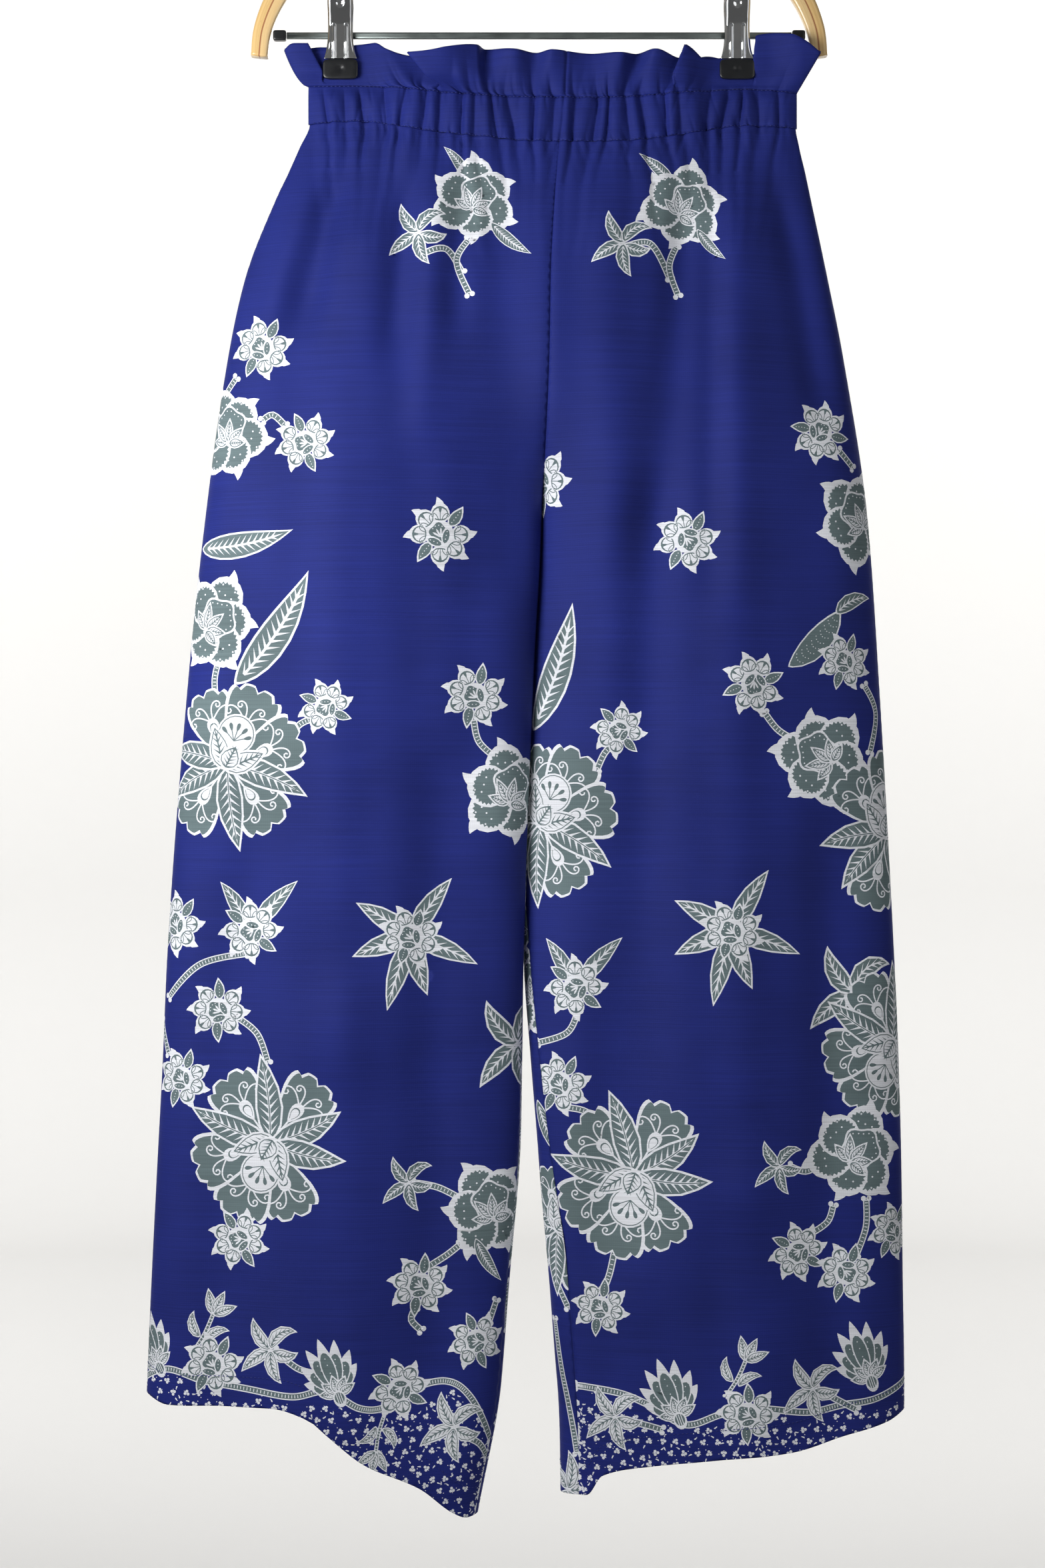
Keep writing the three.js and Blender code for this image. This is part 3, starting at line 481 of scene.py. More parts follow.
class FlatPanel:
    """A leg panel laid flat: from its places on the body, t and drop, to places on the cloth, and
    back. A place on the cloth is a complex number: across, to the right as the panel's outside is
    looked at, measured along the cloth from an upright grain line, and up, the drop less than 0."""

    GRAIN_X = 100
    turns = (1 - np.cos(np.linspace(0, np.pi, 241))) / 2
    STEP = 4.0
    drops = np.arange(40.0, 1056.0, STEP)

    def __init__(self, side, face):
        self.side, self.face = side, face
        t, drop = np.meshgrid(self.turns, self.drops)
        points = cloth_points(side, face, t.ravel(), drop.ravel(), relief=False)
        self.points = points.reshape(*t.shape, 3)
        steps = np.linalg.norm(np.diff(self.points, axis=1), axis=2)
        run = np.concatenate((np.zeros((len(steps), 1)), np.cumsum(steps, axis=1)), axis=1)
        self.total = run[:, -1]
        out = side * self.points[..., 0]
        near = np.argmax(out < self.GRAIN_X, axis=1)
        rows = np.arange(len(run))
        before, after = out[rows, near - 1], out[rows, near]
        mix = (before - self.GRAIN_X) / (before - after)
        self.grain = run[rows, near - 1] * (1 - mix) + run[rows, near] * mix
        self.runs = run / self.total[:, None]
        self.back = np.array([np.interp(self.turns, row, self.turns) for row in self.runs])

    def sample(self, grid, u, drop):
        """A grid's value between its points, by the two nearest on each side."""
        column = np.interp(u, self.turns, np.arange(len(self.turns)))
        row = np.clip((drop - self.drops[0]) / self.STEP, 0, len(self.drops) - 1.001)
        i, j = row.astype(int), np.minimum(column.astype(int), len(self.turns) - 2)
        a, b = row - i, column - j
        upper = grid[i, j] * (1 - b) + grid[i, j + 1] * b
        lower = grid[i + 1, j] * (1 - b) + grid[i + 1, j + 1] * b
        return upper * (1 - a) + lower * a

    def flat(self, t, drop):
        """Places on the cloth of places on the body."""
        total, grain = np.interp(drop, self.drops, self.total), np.interp(drop, self.drops, self.grain)
        run = self.sample(self.runs, t, drop) * total - grain
        return -self.side * self.face * run - 1j * drop

    def worn(self, flat):
        """Places on the body of places on the cloth: t and drop."""
        drop = -flat.imag
        total, grain = np.interp(drop, self.drops, self.total), np.interp(drop, self.drops, self.grain)
        u = np.clip((-self.side * self.face * flat.real + grain) / total, 0, 1)
        return np.clip(self.sample(self.back, u, drop), 0, 1), drop

    def outline(self, step):
        """The panel's edge, anticlockwise as its outside is looked at."""
        t = self.turns[::3]
        top, bottom = top_edge(self.side, self.face, t), bottom_edge(self.side, self.face, t)
        edges = []
        for end in (1, 0):
            first, last = (top[-1], bottom[-1]) if end else (bottom[0], top[0])
            drop = np.linspace(first, last, int(abs(last - first) / step))
            edges.append(self.flat(np.full(len(drop), float(end)), drop))
        upper, lower = self.flat(t, top), self.flat(t, bottom)
        edge = np.concatenate((upper, edges[0][1:], lower[::-1][1:], edges[1][1:-1]))
        return anticlockwise(edge)

    def seen(self, x, drop, distance, aim):
        """The place on the cloth that a viewer in front sees at x and drop of the plane y = 0, as the
        nearest of the table's points."""
        scale = distance / (distance + self.face * self.points[..., 1])
        seen_x = aim[0] + (self.face * self.points[..., 0] - aim[0]) * scale
        seen_z = aim[1] + (self.points[..., 2] - aim[1]) * scale
        off = (seen_x - x) ** 2 + (seen_z - (BAR_Z - drop)) ** 2
        i, j = np.unravel_index(np.argmin(off), off.shape)
        return self.flat(self.turns[j : j + 1], self.drops[i : i + 1])[0]


def anticlockwise(outline):
    """A closed outline, turned over if it goes clockwise."""
    area = (np.conj(outline) * np.roll(outline, -1)).imag.sum()
    return outline[::-1] if area < 0 else outline


def waist_points(face, share, drop, spread, relief, stack):
    """The waist's ring: x goes evenly from side seam to side seam, and the distance out with the
    half circle's height to the power 0.8. spread is 0 at the stitching and 1 at the frill's edge."""
    left, right = WAIST_LEFT - 17 * spread**0.55, WAIST_RIGHT + 16 * spread
    sine = 2 * np.sqrt(np.maximum(0, share * (1 - share)))
    x = left + (right - left) * share
    tip = smooth(160, 186, x)
    half = along(LEVELS, "drop", "half", drop) * (1 - 0.6 * tip * spread)
    closed = stack / 2
    reach = np.minimum(1, RELIEF_REACH * sine) * unironed(x, drop)
    ringed = closed + (half * sine**ROUNDNESS - closed) * (1 - pressed(x, drop))
    seam = 1.3 * np.exp(-((x - along(LEVELS, "drop", "centre", drop)) ** 2))
    away = np.maximum(closed * sine**0.3, ringed + relief(x) * reach - seam)
    swing = 13 * tip * spread**0.7
    return np.stack((x, -face * away - swing, BAR_Z - drop), axis=-1)


def casing_points(face, share, down):
    """The casing round the waist, from its upper stitch line, down = 0, to its lower one, down = 1.
    The elastic rounds it out between them, and its gathers are deepest midway."""
    x = WAIST_LEFT + (WAIST_RIGHT - WAIST_LEFT) * share
    upper, lower = along(STITCHES, "x", "upper", x), along(STITCHES, "x", "lower", x)
    drop = upper + (lower - upper) * down
    slanted = x + slant(x) * (down - 1)
    bulge = 1.4 * np.sin(np.pi * down)
    fine = creases(x, drop - upper, 70, 0.75) + creases(x + 2, lower - drop, 84, 0.6)
    height = GATHER_HEIGHT * gather(slanted) + bulge + 0.8 * fine
    return waist_points(face, share, drop, 0 * share, lambda _: height, 2.5)


def frill_points(face, share, up):
    """The frill above the casing: its free edge, up = 1, follows a table of waves, each of which
    leans out or in. At a tuck it folds over itself in a Z: x goes back by 3.2 w u exp(-u^2), while
    the layer in front comes forward."""
    rows = FRILLS[face]
    x = WAIST_LEFT + (WAIST_RIGHT - WAIST_LEFT) * share
    upper = along(STITCHES, "x", "upper", x)
    drop = upper + (along(rows, "x", "edge", x) - upper) * up
    edge_x = x - along(rows, "x", "foot", x) * (1 - up)
    lean = along(rows, "x", "lean", edge_x) * up
    seated = GATHER_HEIGHT * gather(x - slant(x) * (1 - up)) * (1 - up) ** 2
    flutter = 0.9 * np.sin(x / 6.5 + 2 * np.sin(x / 31)) * up + creases(x, upper - drop, 64, 0.8)
    points = waist_points(face, share, drop, up, lambda _: lean + seated + flutter, 1.4)
    for edge, foot, width, out, hand in TUCKS[face]:
        off = hand * (points[:, 0] - foot - (edge - foot) * up) / width
        over = smooth(0.04, 0.4, up)
        points[:, 0] -= hand * 3.2 * width * off * np.exp(-off * off) * over
        layer = smooth(-0.5, 0.5, off) * (1 - smooth(1, 5.5, off)) - 0.25 * np.exp(-((off + 1) ** 2))
        points[:, 1] -= face * out * layer * over
    return points


def linear(code):
    """An sRGB hex colour as linear red, green, blue and alpha."""
    channels = np.array([int(code[i : i + 2], 16) for i in (1, 3, 5)]) / 255
    low, high = channels / 12.92, ((channels + 0.055) / 1.055) ** 2.4
    return (*(float(c) for c in np.where(channels <= 0.04045, low, high)), 1.0)


def add_node(tree, kind, settings=(), inputs=()):
    """Adds a node with its settings, and gives each input a number, a colour or another node's
    output to follow."""
    node = tree.nodes.new(kind)
    for name, value in dict(settings).items():
        setattr(node, name, value)
    for name, value in dict(inputs).items():
        if isinstance(value, bpy.types.NodeSocket):
            tree.links.new(value, node.inputs[name])
        else:
            node.inputs[name].default_value = value
    return node


def new_material(name, **sockets):
    """A material with one Principled shader, its sockets set by name with _ for a space."""
    made = bpy.data.materials.new(name)
    made.use_nodes = True
    shader = made.node_tree.nodes["Principled BSDF"]
    for socket, value in sockets.items():
        shader.inputs[socket.replace("_", " ")].default_value = value
    return made, made.node_tree, shader


def finished(name, points, faces, materials, body="root", slots=None, uv=None):
    """Makes a piece from its points in millimetres and its faces, smooth shaded, and rides it."""
    mesh = bpy.data.meshes.new(name)
    mesh.from_pydata((np.asarray(points) * MM).tolist(), [], [list(map(int, f)) for f in faces])
    for each in materials:
        mesh.materials.append(each)
    if slots is not None:
        mesh.polygons.foreach_set("material_index", slots)
    if uv is not None:
        corners = np.empty(len(mesh.loops), int)
        mesh.loops.foreach_get("vertex_index", corners)
        layer = mesh.uv_layers.new(name="cloth")
        layer.uv.foreach_set("vector", (np.asarray(uv) * MM)[corners].ravel())
    mesh.shade_smooth()
    mesh.update()
    piece = bpy.data.objects.new(name, mesh)
    bpy.context.scene.collection.objects.link(piece)
    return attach(piece, body) or piece


def grid_faces(rows, columns):
    """The four-sided faces of a grid of points, row after row."""
    index = np.arange(rows * columns).reshape(rows, columns)
    corners = (index[:-1, :-1], index[1:, :-1], index[1:, 1:], index[:-1, 1:])
    return np.stack(corners, axis=-1).reshape(-1, 4)


def loft(rings):
    """A closed skin through rings of points, one row each, shut at each end by a fan to its middle.
    If its signed volume is negative every face is turned over."""
    rows, around, _ = rings.shape
    index = np.arange(rows * around).reshape(rows, around)
    after = np.roll(index, -1, axis=1)
    quads = np.stack((index[:-1], after[:-1], after[1:], index[1:]), axis=-1).reshape(-1, 4)
    start = np.full(around, rows * around)
    fans = np.concatenate(
        (
            np.stack((start, after[0], index[0]), axis=-1),
            np.stack((start + 1, index[-1], after[-1]), axis=-1),
        )
    )
    points = np.concatenate((rings.reshape(-1, 3), rings[[0, -1]].mean(axis=1)))
    a, b, c, d = (points[quads[:, i]] for i in range(4))
    volume = (np.cross(a, b) * c).sum() + (np.cross(a, c) * d).sum()
    flip = -1 if volume < 0 else 1
    return points, [face[::flip] for face in quads.tolist() + fans.tolist()]


def joined(parts):
    """Several points-and-faces pairs as one."""
    points, faces, start = [], [], 0
    for part_points, part_faces in parts:
        points.append(part_points)
        faces += [[i + start for i in face] for face in part_faces]
        start += len(part_points)
    return np.concatenate(points), faces


def carried(path, section, across):
    """Rings of a section carried along a path. The section's first coordinate goes along across, its
    second square to that and to the path."""
    heading = np.gradient(path, axis=0)
    heading /= np.linalg.norm(heading, axis=1, keepdims=True)
    second = np.cross(heading, across)
    second /= np.linalg.norm(second, axis=1, keepdims=True)
    first = np.cross(second, heading)
    section = np.broadcast_to(section, (len(path), *section.shape[-2:]))
    return (
        path[:, None] + section[..., :1] * first[:, None] + section[..., 1:] * second[:, None]
    )


def circle(radius, count=20):
    """A circle's points."""
    angle = np.linspace(0, 2 * np.pi, count, endpoint=False)
    return radius * np.stack((np.cos(angle), np.sin(angle)), axis=-1)


def squircle(half_width, half_height, power, count=48):
    """A superellipse: |x/a|^p + |y/b|^p = 1, a rectangle whose corners round off as p falls."""
    angle = np.linspace(0, 2 * np.pi, count, endpoint=False) + 1e-4
    cosine, sine = np.cos(angle), np.sin(angle)
    radius = (np.abs(cosine) ** power + np.abs(sine) ** power) ** (-1 / power)
    return np.stack((half_width * radius * cosine, half_height * radius * sine), axis=-1)


def through(points, count):
    """A Catmull-Rom curve through points, evenly spread over their intervals."""
    points = np.asarray(points, float)
    padded = np.concatenate((points[:1], points, points[-1:]))
    span = np.linspace(0, len(points) - 1, count)
    i = np.minimum(span.astype(int), len(points) - 2)
    w = (span - i)[:, None]
    p0, p1, p2, p3 = (padded[i + k] for k in range(4))
    cubic = (3 * (p1 - p2) + p3 - p0) * w**3
    return 0.5 * (2 * p1 + (p2 - p0) * w + (2 * p0 - 5 * p1 + 4 * p2 - p3) * w**2 + cubic)


# Print

NAVY, WHITE, GREY = range(3)


def arc(length, bend, u):
    """Places and headings along a line that turns evenly by bend radians, as complex numbers."""
    middle = length * u * np.exp(0.5j * bend * u) * np.sinc(bend * u / (2 * np.pi))
    return middle, np.exp(1j * bend * u)


def blade(length, width, rise=0.6, fall=0.9, bend=0.0, count=9, margin=0.0):
    """A leaf or petal: its half-width goes with u^rise (1 - u)^fall along an arc. With a margin, it is
    the same blade drawn in from its edge by about that much."""
    u = (1 - np.cos(np.linspace(0, np.pi, count))) / 2
    peak = rise / (rise + fall)
    half = (width / 2 - margin) * (u / peak) ** rise * ((1 - u) / (1 - peak)) ** fall
    first, last = 1.4 * margin / length, 1 - 2.2 * margin / length
    middle, heading = arc(length, bend, first + (last - first) * u)
    across = 1j * heading * half
    return np.concatenate((middle - across, (middle + across)[-2:0:-1]))


def stroke(path, width):
    """A line of ink along a path, of even width or of one width for each of its points."""
    heading = np.gradient(path)
    across = 0.5j * width * heading / np.abs(heading)
    return np.concatenate((path - across, (path + across)[::-1]))


def curl(start, heading, turn, length, count=13):
    """A line that sets out straight and rolls up: its heading turns with the cube of its length."""
    s = np.linspace(0, 1, count) ** 0.8
    steps = length * np.diff(s) * np.exp(1j * (heading + turn * s[1:] ** 3))
    return start + np.concatenate(([0], np.cumsum(steps)))


def dot(centre, radius, count=7):
    """A dot, as a many-sided figure."""
    return centre + radius * np.exp(2j * np.pi * np.arange(count) / count)


def moved(shapes, centre=0.0, degrees=0.0, size=1.0):
    """Shapes sized, turned and moved."""
    turn = size * np.exp(1j * np.radians(degrees))
    return [(ink, centre + turn * outline) for ink, outline in shapes]


def feather(length, width, bend=0.0, barbs=6, first=0.1, last=0.84):
    """A vein with thin barbs that point forwards. Each barb leaves the vein, runs out to its tip and
    comes back a little way on; the barbs are longest midway."""
    step = np.repeat(np.arange(barbs), 3)
    tip = np.tile((0, 1, 0), barbs)
    ahead = np.tile((0.0, 1.25, 0.42), barbs)
    u = first + (last - first) * (step + ahead) / barbs
    half = 0.035 * width + 0.27 * width * tip * np.sin(np.pi * np.clip(u, 0, 1)) ** 0.7
    middle, heading = arc(length, bend, np.append(u, last + 0.06))
    across = 1j * heading * np.append(half, 0)
    return np.concatenate((middle - across, (middle + across)[-2::-1]))


def leaf(length, width, bend=0.0, fill=GREY, vein="feather", rim=0.9):
    """A leaf with a rim, a fill and a feather or a row of dots along its middle. On a white leaf a
    fine grey line follows the rim."""
    mark = WHITE if fill == GREY else GREY
    shapes = [
        (WHITE, blade(length, width, 0.7, 1.05, bend, 8)),
        (GREY, blade(length, width, 0.7, 1.05, bend, 8, margin=rim)),
    ]
    if fill == WHITE:
        shapes.append((WHITE, blade(length, width, 0.7, 1.05, bend, 8, margin=rim + 0.5)))
    if vein == "feather":
        shapes.append((mark, feather(length, width, bend)))
    else:
        middle, _ = arc(length, bend, np.linspace(0.2, 0.72, 5))
        shapes += [(mark, dot(place, 0.45, 4)) for place in middle]
    return shapes


def petal():
    """A white petal with a flicked tip, a fine grey line inside its edge, two curls and a drop."""
    shapes = [
        (WHITE, blade(13.5, 13, 0.42, 0.5, count=8)),
        (WHITE, 9.5 + blade(8.5, 6.5, 0.25, 1.0, 0.6, count=5)),
        (GREY, blade(13.5, 13, 0.42, 0.5, count=8, margin=1.0)),
        (WHITE, blade(13.5, 13, 0.42, 0.5, count=8, margin=1.6)),
        (GREY, 6.2 + blade(4.6, 2.2, 1.2, 0.6, count=4)),
        (GREY, stroke(np.array((1.6 + 0j, 7)), 0.5)),
    ]
    for hand in (-1, 1):
        shapes.append((GREY, stroke(curl(1.6 + 1j * hand, 0.3 * hand, 7 * hand, 12.5, 9), 0.55)))
    return shapes


def rosette(leaf_length=17):
    """Six petals and two grey leaves round a grey heart: about 24 mm from middle to tips."""
    shapes = []
    for k in range(8):
        part = leaf(leaf_length, 8.5, 0.3, vein="dots") if k in (1, 5) else petal()
        shapes += moved(part, 7.8 * np.exp(0.25j * np.pi * k), 45 * k)
    angle = 2 * np.pi * np.arange(24) / 24
    heart = (1 + 0.13 * np.cos(4 * angle)) * np.exp(1j * angle)
    shapes += [(WHITE, 9.4 * np.exp(1j * angle[::2])), (GREY, -1 + 1.4j + 6 * heart)]
    for degrees in (60, 90, 120, 150):
        shapes += moved([(WHITE, blade(6.5, 1.5, 0.8, 0.6, count=4))], 0.5 - 2j, degrees)
        shapes.append((WHITE, dot(-1 + 1.4j + 4.6 * np.exp(1j * np.radians(degrees)), 0.5, 4)))
    for centre, degrees in ((2.6 - 7.4j, 77), (2 - 7.6j, 157)):
        eye = [
            (WHITE, blade(13, 6.4, 0.6, 0.6, count=6)),
            (GREY, blade(13, 6.4, 0.6, 0.6, count=6, margin=0.9)),
        ]
        eye += [(WHITE, dot(x + 0j, 0.5, 4)) for x in (4.2, 6.8, 9.4)]
        shapes += moved(eye, centre, degrees)
    return moved(shapes, size=0.95)


def star_rosette():
    """A rosette between six long grey leaves with flicked tips: about 50 mm from middle to tips."""
    shapes = []
    for degrees, length, bend in (
        (62, 50, -0.25),
        (-17, 51, -0.2),
        (-112, 54, 0.15),
        (-80, 43, 0.2),
        (-167, 43, 0.2),
        (142, 45, 0.2),
    ):
        shapes += moved(leaf(length, 15, bend, rim=1.2), 0, degrees)
    return shapes + moved(rosette(14), 0, 20)


def ear_rosette():
    """A rosette with two long leaves like ears."""
    shapes = moved(leaf(46, 13, -0.25), 2 + 2j, 62) + moved(leaf(38, 12, 0.3), -2 + 2j, 122)
    return shapes + moved(rosette(), 0, 100)


def dotted_flower():
    """Grey petals with a fringed white rim and white dots, round white leaves: 32 mm to the tips."""
    shapes = []
    for k, degrees in enumerate((88, 28, -32, -88, -150, 152)):
        length = 29 - 3 * (k % 2)
        rows = [
            (WHITE, blade(length, 25, 0.55, 0.5)),
            (WHITE, length - 5 + blade(10, 8, 0.2, 1.0, 0.6 * (-1) ** k)),
        ]
        fringe = blade(length, 25, 0.55, 0.5, margin=1.7, count=27)
        pull = np.where(np.arange(len(fringe)) % 2, 0.9, 1.03)
        middle = length * 0.52
        rows.append((GREY, middle + (fringe - middle) * pull))
        for row, count in ((0.62, 3), (0.78, 2)):
            across = np.linspace(-1, 1, count) * 4.5
            rows += [(WHITE, dot(length * row + 1j * y, 0.6, 6)) for y in across]
        shapes += moved(rows, 0, degrees)
    angle = 2 * np.pi * np.arange(36) / 36
    heart = (1 + 0.09 * np.cos(5 * angle)) * np.exp(1j * angle)
    shapes += [(WHITE, 3 + 4j + 12 * heart), (GREY, 3 + 4j + 10.8 * heart)]
    shapes += [(WHITE, dot(3 + 4j + 9 * w, 0.5, 5)) for w in heart[::2]]
    for degrees, length in ((150, 14), (108, 17), (66, 16), (20, 15), (-20, 13)):
        shapes += moved(leaf(length, 7, 0, WHITE, rim=0.8), -1 - 6j, degrees)
    return shapes


def lobe(radius, half_angle, grow=0.0):
    """A fan-shaped lobe with four scallops: its edge in polar form, r = R (1 - (a / h)^6)^1/2 less a
    dip at each quarter of the angle."""
    share = np.linspace(-1, 1, 33)
    edge = np.sqrt(np.maximum(0, 1 - share**6)) * (1 - 0.07 * np.cos(2 * np.pi * share) ** 8)
    angle = share * (half_angle + grow / radius)
    return (radius * edge + grow) * np.exp(1j * angle)


def scalloped_flower():
    """Scalloped grey lobes with white drops and curls, feathered leaves between them, and a white
    lotus in the middle: about 46 mm from middle to edge."""
    shapes = []
    lobes = ((112, 43), (66, 46), (20, 45), (-52, 44), (-128, 44))
    for degrees, radius in lobes:
        part = [(WHITE, lobe(radius, 0.5, 1.2)), (GREY, lobe(radius, 0.47))]
        part += [
            (WHITE, 15 + blade(13, 7.5, 1.0, 0.5)),
            (GREY, 15 + blade(13, 7.5, 1.0, 0.5, margin=1.3)),
            (WHITE, 15 + blade(13, 7.5, 1.0, 0.5, margin=1.7)),
            (WHITE, stroke(np.linspace(4, 18, 5) + 0j, 1.0)),
        ]
        for hand in (-1, 1):
            for heading, turn, length in ((0.1, 7, 21), (0.85, 6.5, 24)):
                path = curl(26.5 + 1j * hand, heading * hand, turn * hand, length, 16)
                part.append((WHITE, stroke(path, 0.85)))
        shapes += moved(part, 0, degrees)
    for degrees, length, bend in ((-10, 50, -0.4), (-90, 50, 0.3), (-165, 44, 0.4), (158, 44, 0.4)):
        part = leaf(length, 16, bend, rim=1.2)[:2]
        part.append((WHITE, feather(length, 19, bend, 8)))
        middle, _ = arc(length, bend, np.linspace(0.05, 0.85, 10))
        part.append((GREY, stroke(middle, 0.6)))
        shapes += moved(part, 0, degrees)
    pollen = [(WHITE, dot(0, 11.5, 22)), (GREY, dot(0, 10.5, 22)), (WHITE, dot(0, 10, 22))]
    for degrees in (30, 60, 90, 120, 150):
        rod = [(GREY, stroke(np.linspace(0, 8, 3) + 0j, 0.5)), (GREY, 5.5 + blade(5, 2.2, 1, 0.5))]
        pollen += moved(rod, -4j, degrees)
    shapes += moved(pollen, 5 + 17j, -20)
    for degrees, length in ((104, 27), (22, 27), (62, 17)):
        shapes += moved(leaf(length, 13, 0, WHITE, rim=1.1), -2 - 3j, degrees)
    return shapes


def sprig(fill=GREY):
    """Five curved leaves that spring from one knob, like a hand: about 26 mm to the tips."""
    shapes = []
    for degrees, length, bend in (
        (-46, 22, 1.5),
        (-160, 29, 0.6),
        (-104, 27, 1.1),
        (150, 28, -1.0),
        (92, 28, -2.0),
    ):
        shapes += moved(leaf(length, 10.5, bend, fill, rim=1.0), 0, degrees)
    return shapes


def lotus():
    """Long pointed petals that open upwards from a ribbed bulb: about 38 mm tall."""
    shapes = []
    for degrees, length in ((148, 25), (36, 25), (128, 32), (54, 32), (108, 38), (74, 38), (91, 41)):
        part = [
            (WHITE, blade(length, 11, 0.7, 0.9)),
            (GREY, blade(length * 0.78, 11, 0.7, 0.5, margin=0.9)),
        ]
        part += [(WHITE, dot(length * u + 0j, 0.5, 5)) for u in (0.35, 0.5, 0.62)]
        shapes += moved(part, 0, degrees)
    for degrees in (165, 130, 90, 50, 15):
        shapes += moved(leaf(15, 8, 0, WHITE, rim=0.9), -2j, degrees)
    bulb = [(WHITE, blade(13, 9.5, 0.5, 0.5)), (GREY, blade(13, 9.5, 0.5, 0.5, margin=1.2))]
    bulb += [(WHITE, stroke(np.linspace(2, 11, 3) + 1j * y, 0.6)) for y in (-1.6, 0, 1.6)]
    return shapes + moved(bulb, 1j, -90)


def twig():
    """A small upright shoot of the border: a stem with a three-leaved tip and two side leaves."""
    shapes = stem((0, 9 + 14j, 16 + 30j), 3.2)
    shapes += moved(leaf(22, 8, -1.6, WHITE), 6 + 12j, 150) + moved(leaf(22, 8, -1.6, WHITE), 10 + 8j, 70)
    for degrees in (100, 62, 20):
        shapes += moved(leaf(20, 8.5, 0, WHITE), 15 + 28j, degrees)
    return shapes


def long_leaf():
    """A long blade leaf that lies along its own line."""
    shapes = [
        (WHITE, blade(60, 15, 0.75, 1.1, 0.45, 13)),
        (GREY, blade(60, 15, 0.75, 1.1, 0.45, 13, margin=1.1)),
    ]
    return shapes + [(WHITE, feather(60, 17, 0.45, 12))]


def folded_leaf():
    """A broad leaf with curved rows of dots, folded over at its top."""
    shapes = [
        (WHITE, blade(62, 21, 0.8, 0.8, 0.5)),
        (GREY, blade(62, 21, 0.8, 0.8, 0.5, margin=1.1)),
    ]
    middle, heading = arc(62, 0.5, np.linspace(0.15, 0.85, 9))
    for place, along_it in zip(middle, heading):
        for step in (-4.2, -2.1, 0, 2.1, 4.2):
            shapes.append((WHITE, dot(place + along_it * (1j * step + 0.12 * step**2), 0.5, 4)))
    return shapes + moved(leaf(36, 13, -1.1), 55 + 14j, 22)


def stem(points, width=4.8, rung=2.1):
    """A stem through points: a white line with a grey heart and white rungs, ending in two knobs."""
    points = np.asarray(points)
    flat = np.stack((points.real, points.imag), axis=-1)
    length = np.abs(np.diff(points)).sum()
    curve = through(flat, max(4, int(length / rung)))
    path = curve[:, 0] + 1j * curve[:, 1]
    shapes = [(WHITE, stroke(path, width)), (GREY, stroke(path, width - 1.6))]
    heading = np.gradient(path)
    heading /= np.abs(heading)
    corners = np.array((-0.3 - 1.1j, 0.3 - 1.1j, 0.3 + 1.1j, -0.3 + 1.1j))
    for place, way in zip(path[1:-1], heading[1:-1]):
        shapes.append((WHITE, place + way * corners))
    for place, way in ((path[0], heading[0]), (path[-1], heading[-1])):
        for hand in (-1, 1):
            shapes.append((WHITE, dot(place + way * 1j * hand * width * 0.42, width * 0.4, 9)))
    return shapes


def trefoil(degrees):
    """Three round leaves on a short stalk, with a comma and a speck beside them."""
    shapes = [(WHITE, dot(1.7 * np.exp(2j * np.pi * k / 3), 1.5, 6)) for k in range(3)]
    shapes.append((WHITE, -3.6 + blade(3.2, 1, 0.6, 0.6, count=3)))
    shapes.append((WHITE, 4.5 + 2.6j + blade(4.2, 1.5, 0.4, 0.9, 1.4, count=4)))
    shapes.append((WHITE, dot(0.5 - 4.6j, 0.6, 4)))
    return moved(shapes, 0, degrees)


MOTIFS = {
    "rosette": rosette,
    "star": star_rosette,
    "ears": ear_rosette,
    "dotted": dotted_flower,
    "scalloped": scalloped_flower,
    "sprig": sprig,
    "white sprig": lambda: sprig(WHITE),
    "lotus": lotus,
    "twig": twig,
    "long leaf": long_leaf,
    "folded leaf": folded_leaf,
}
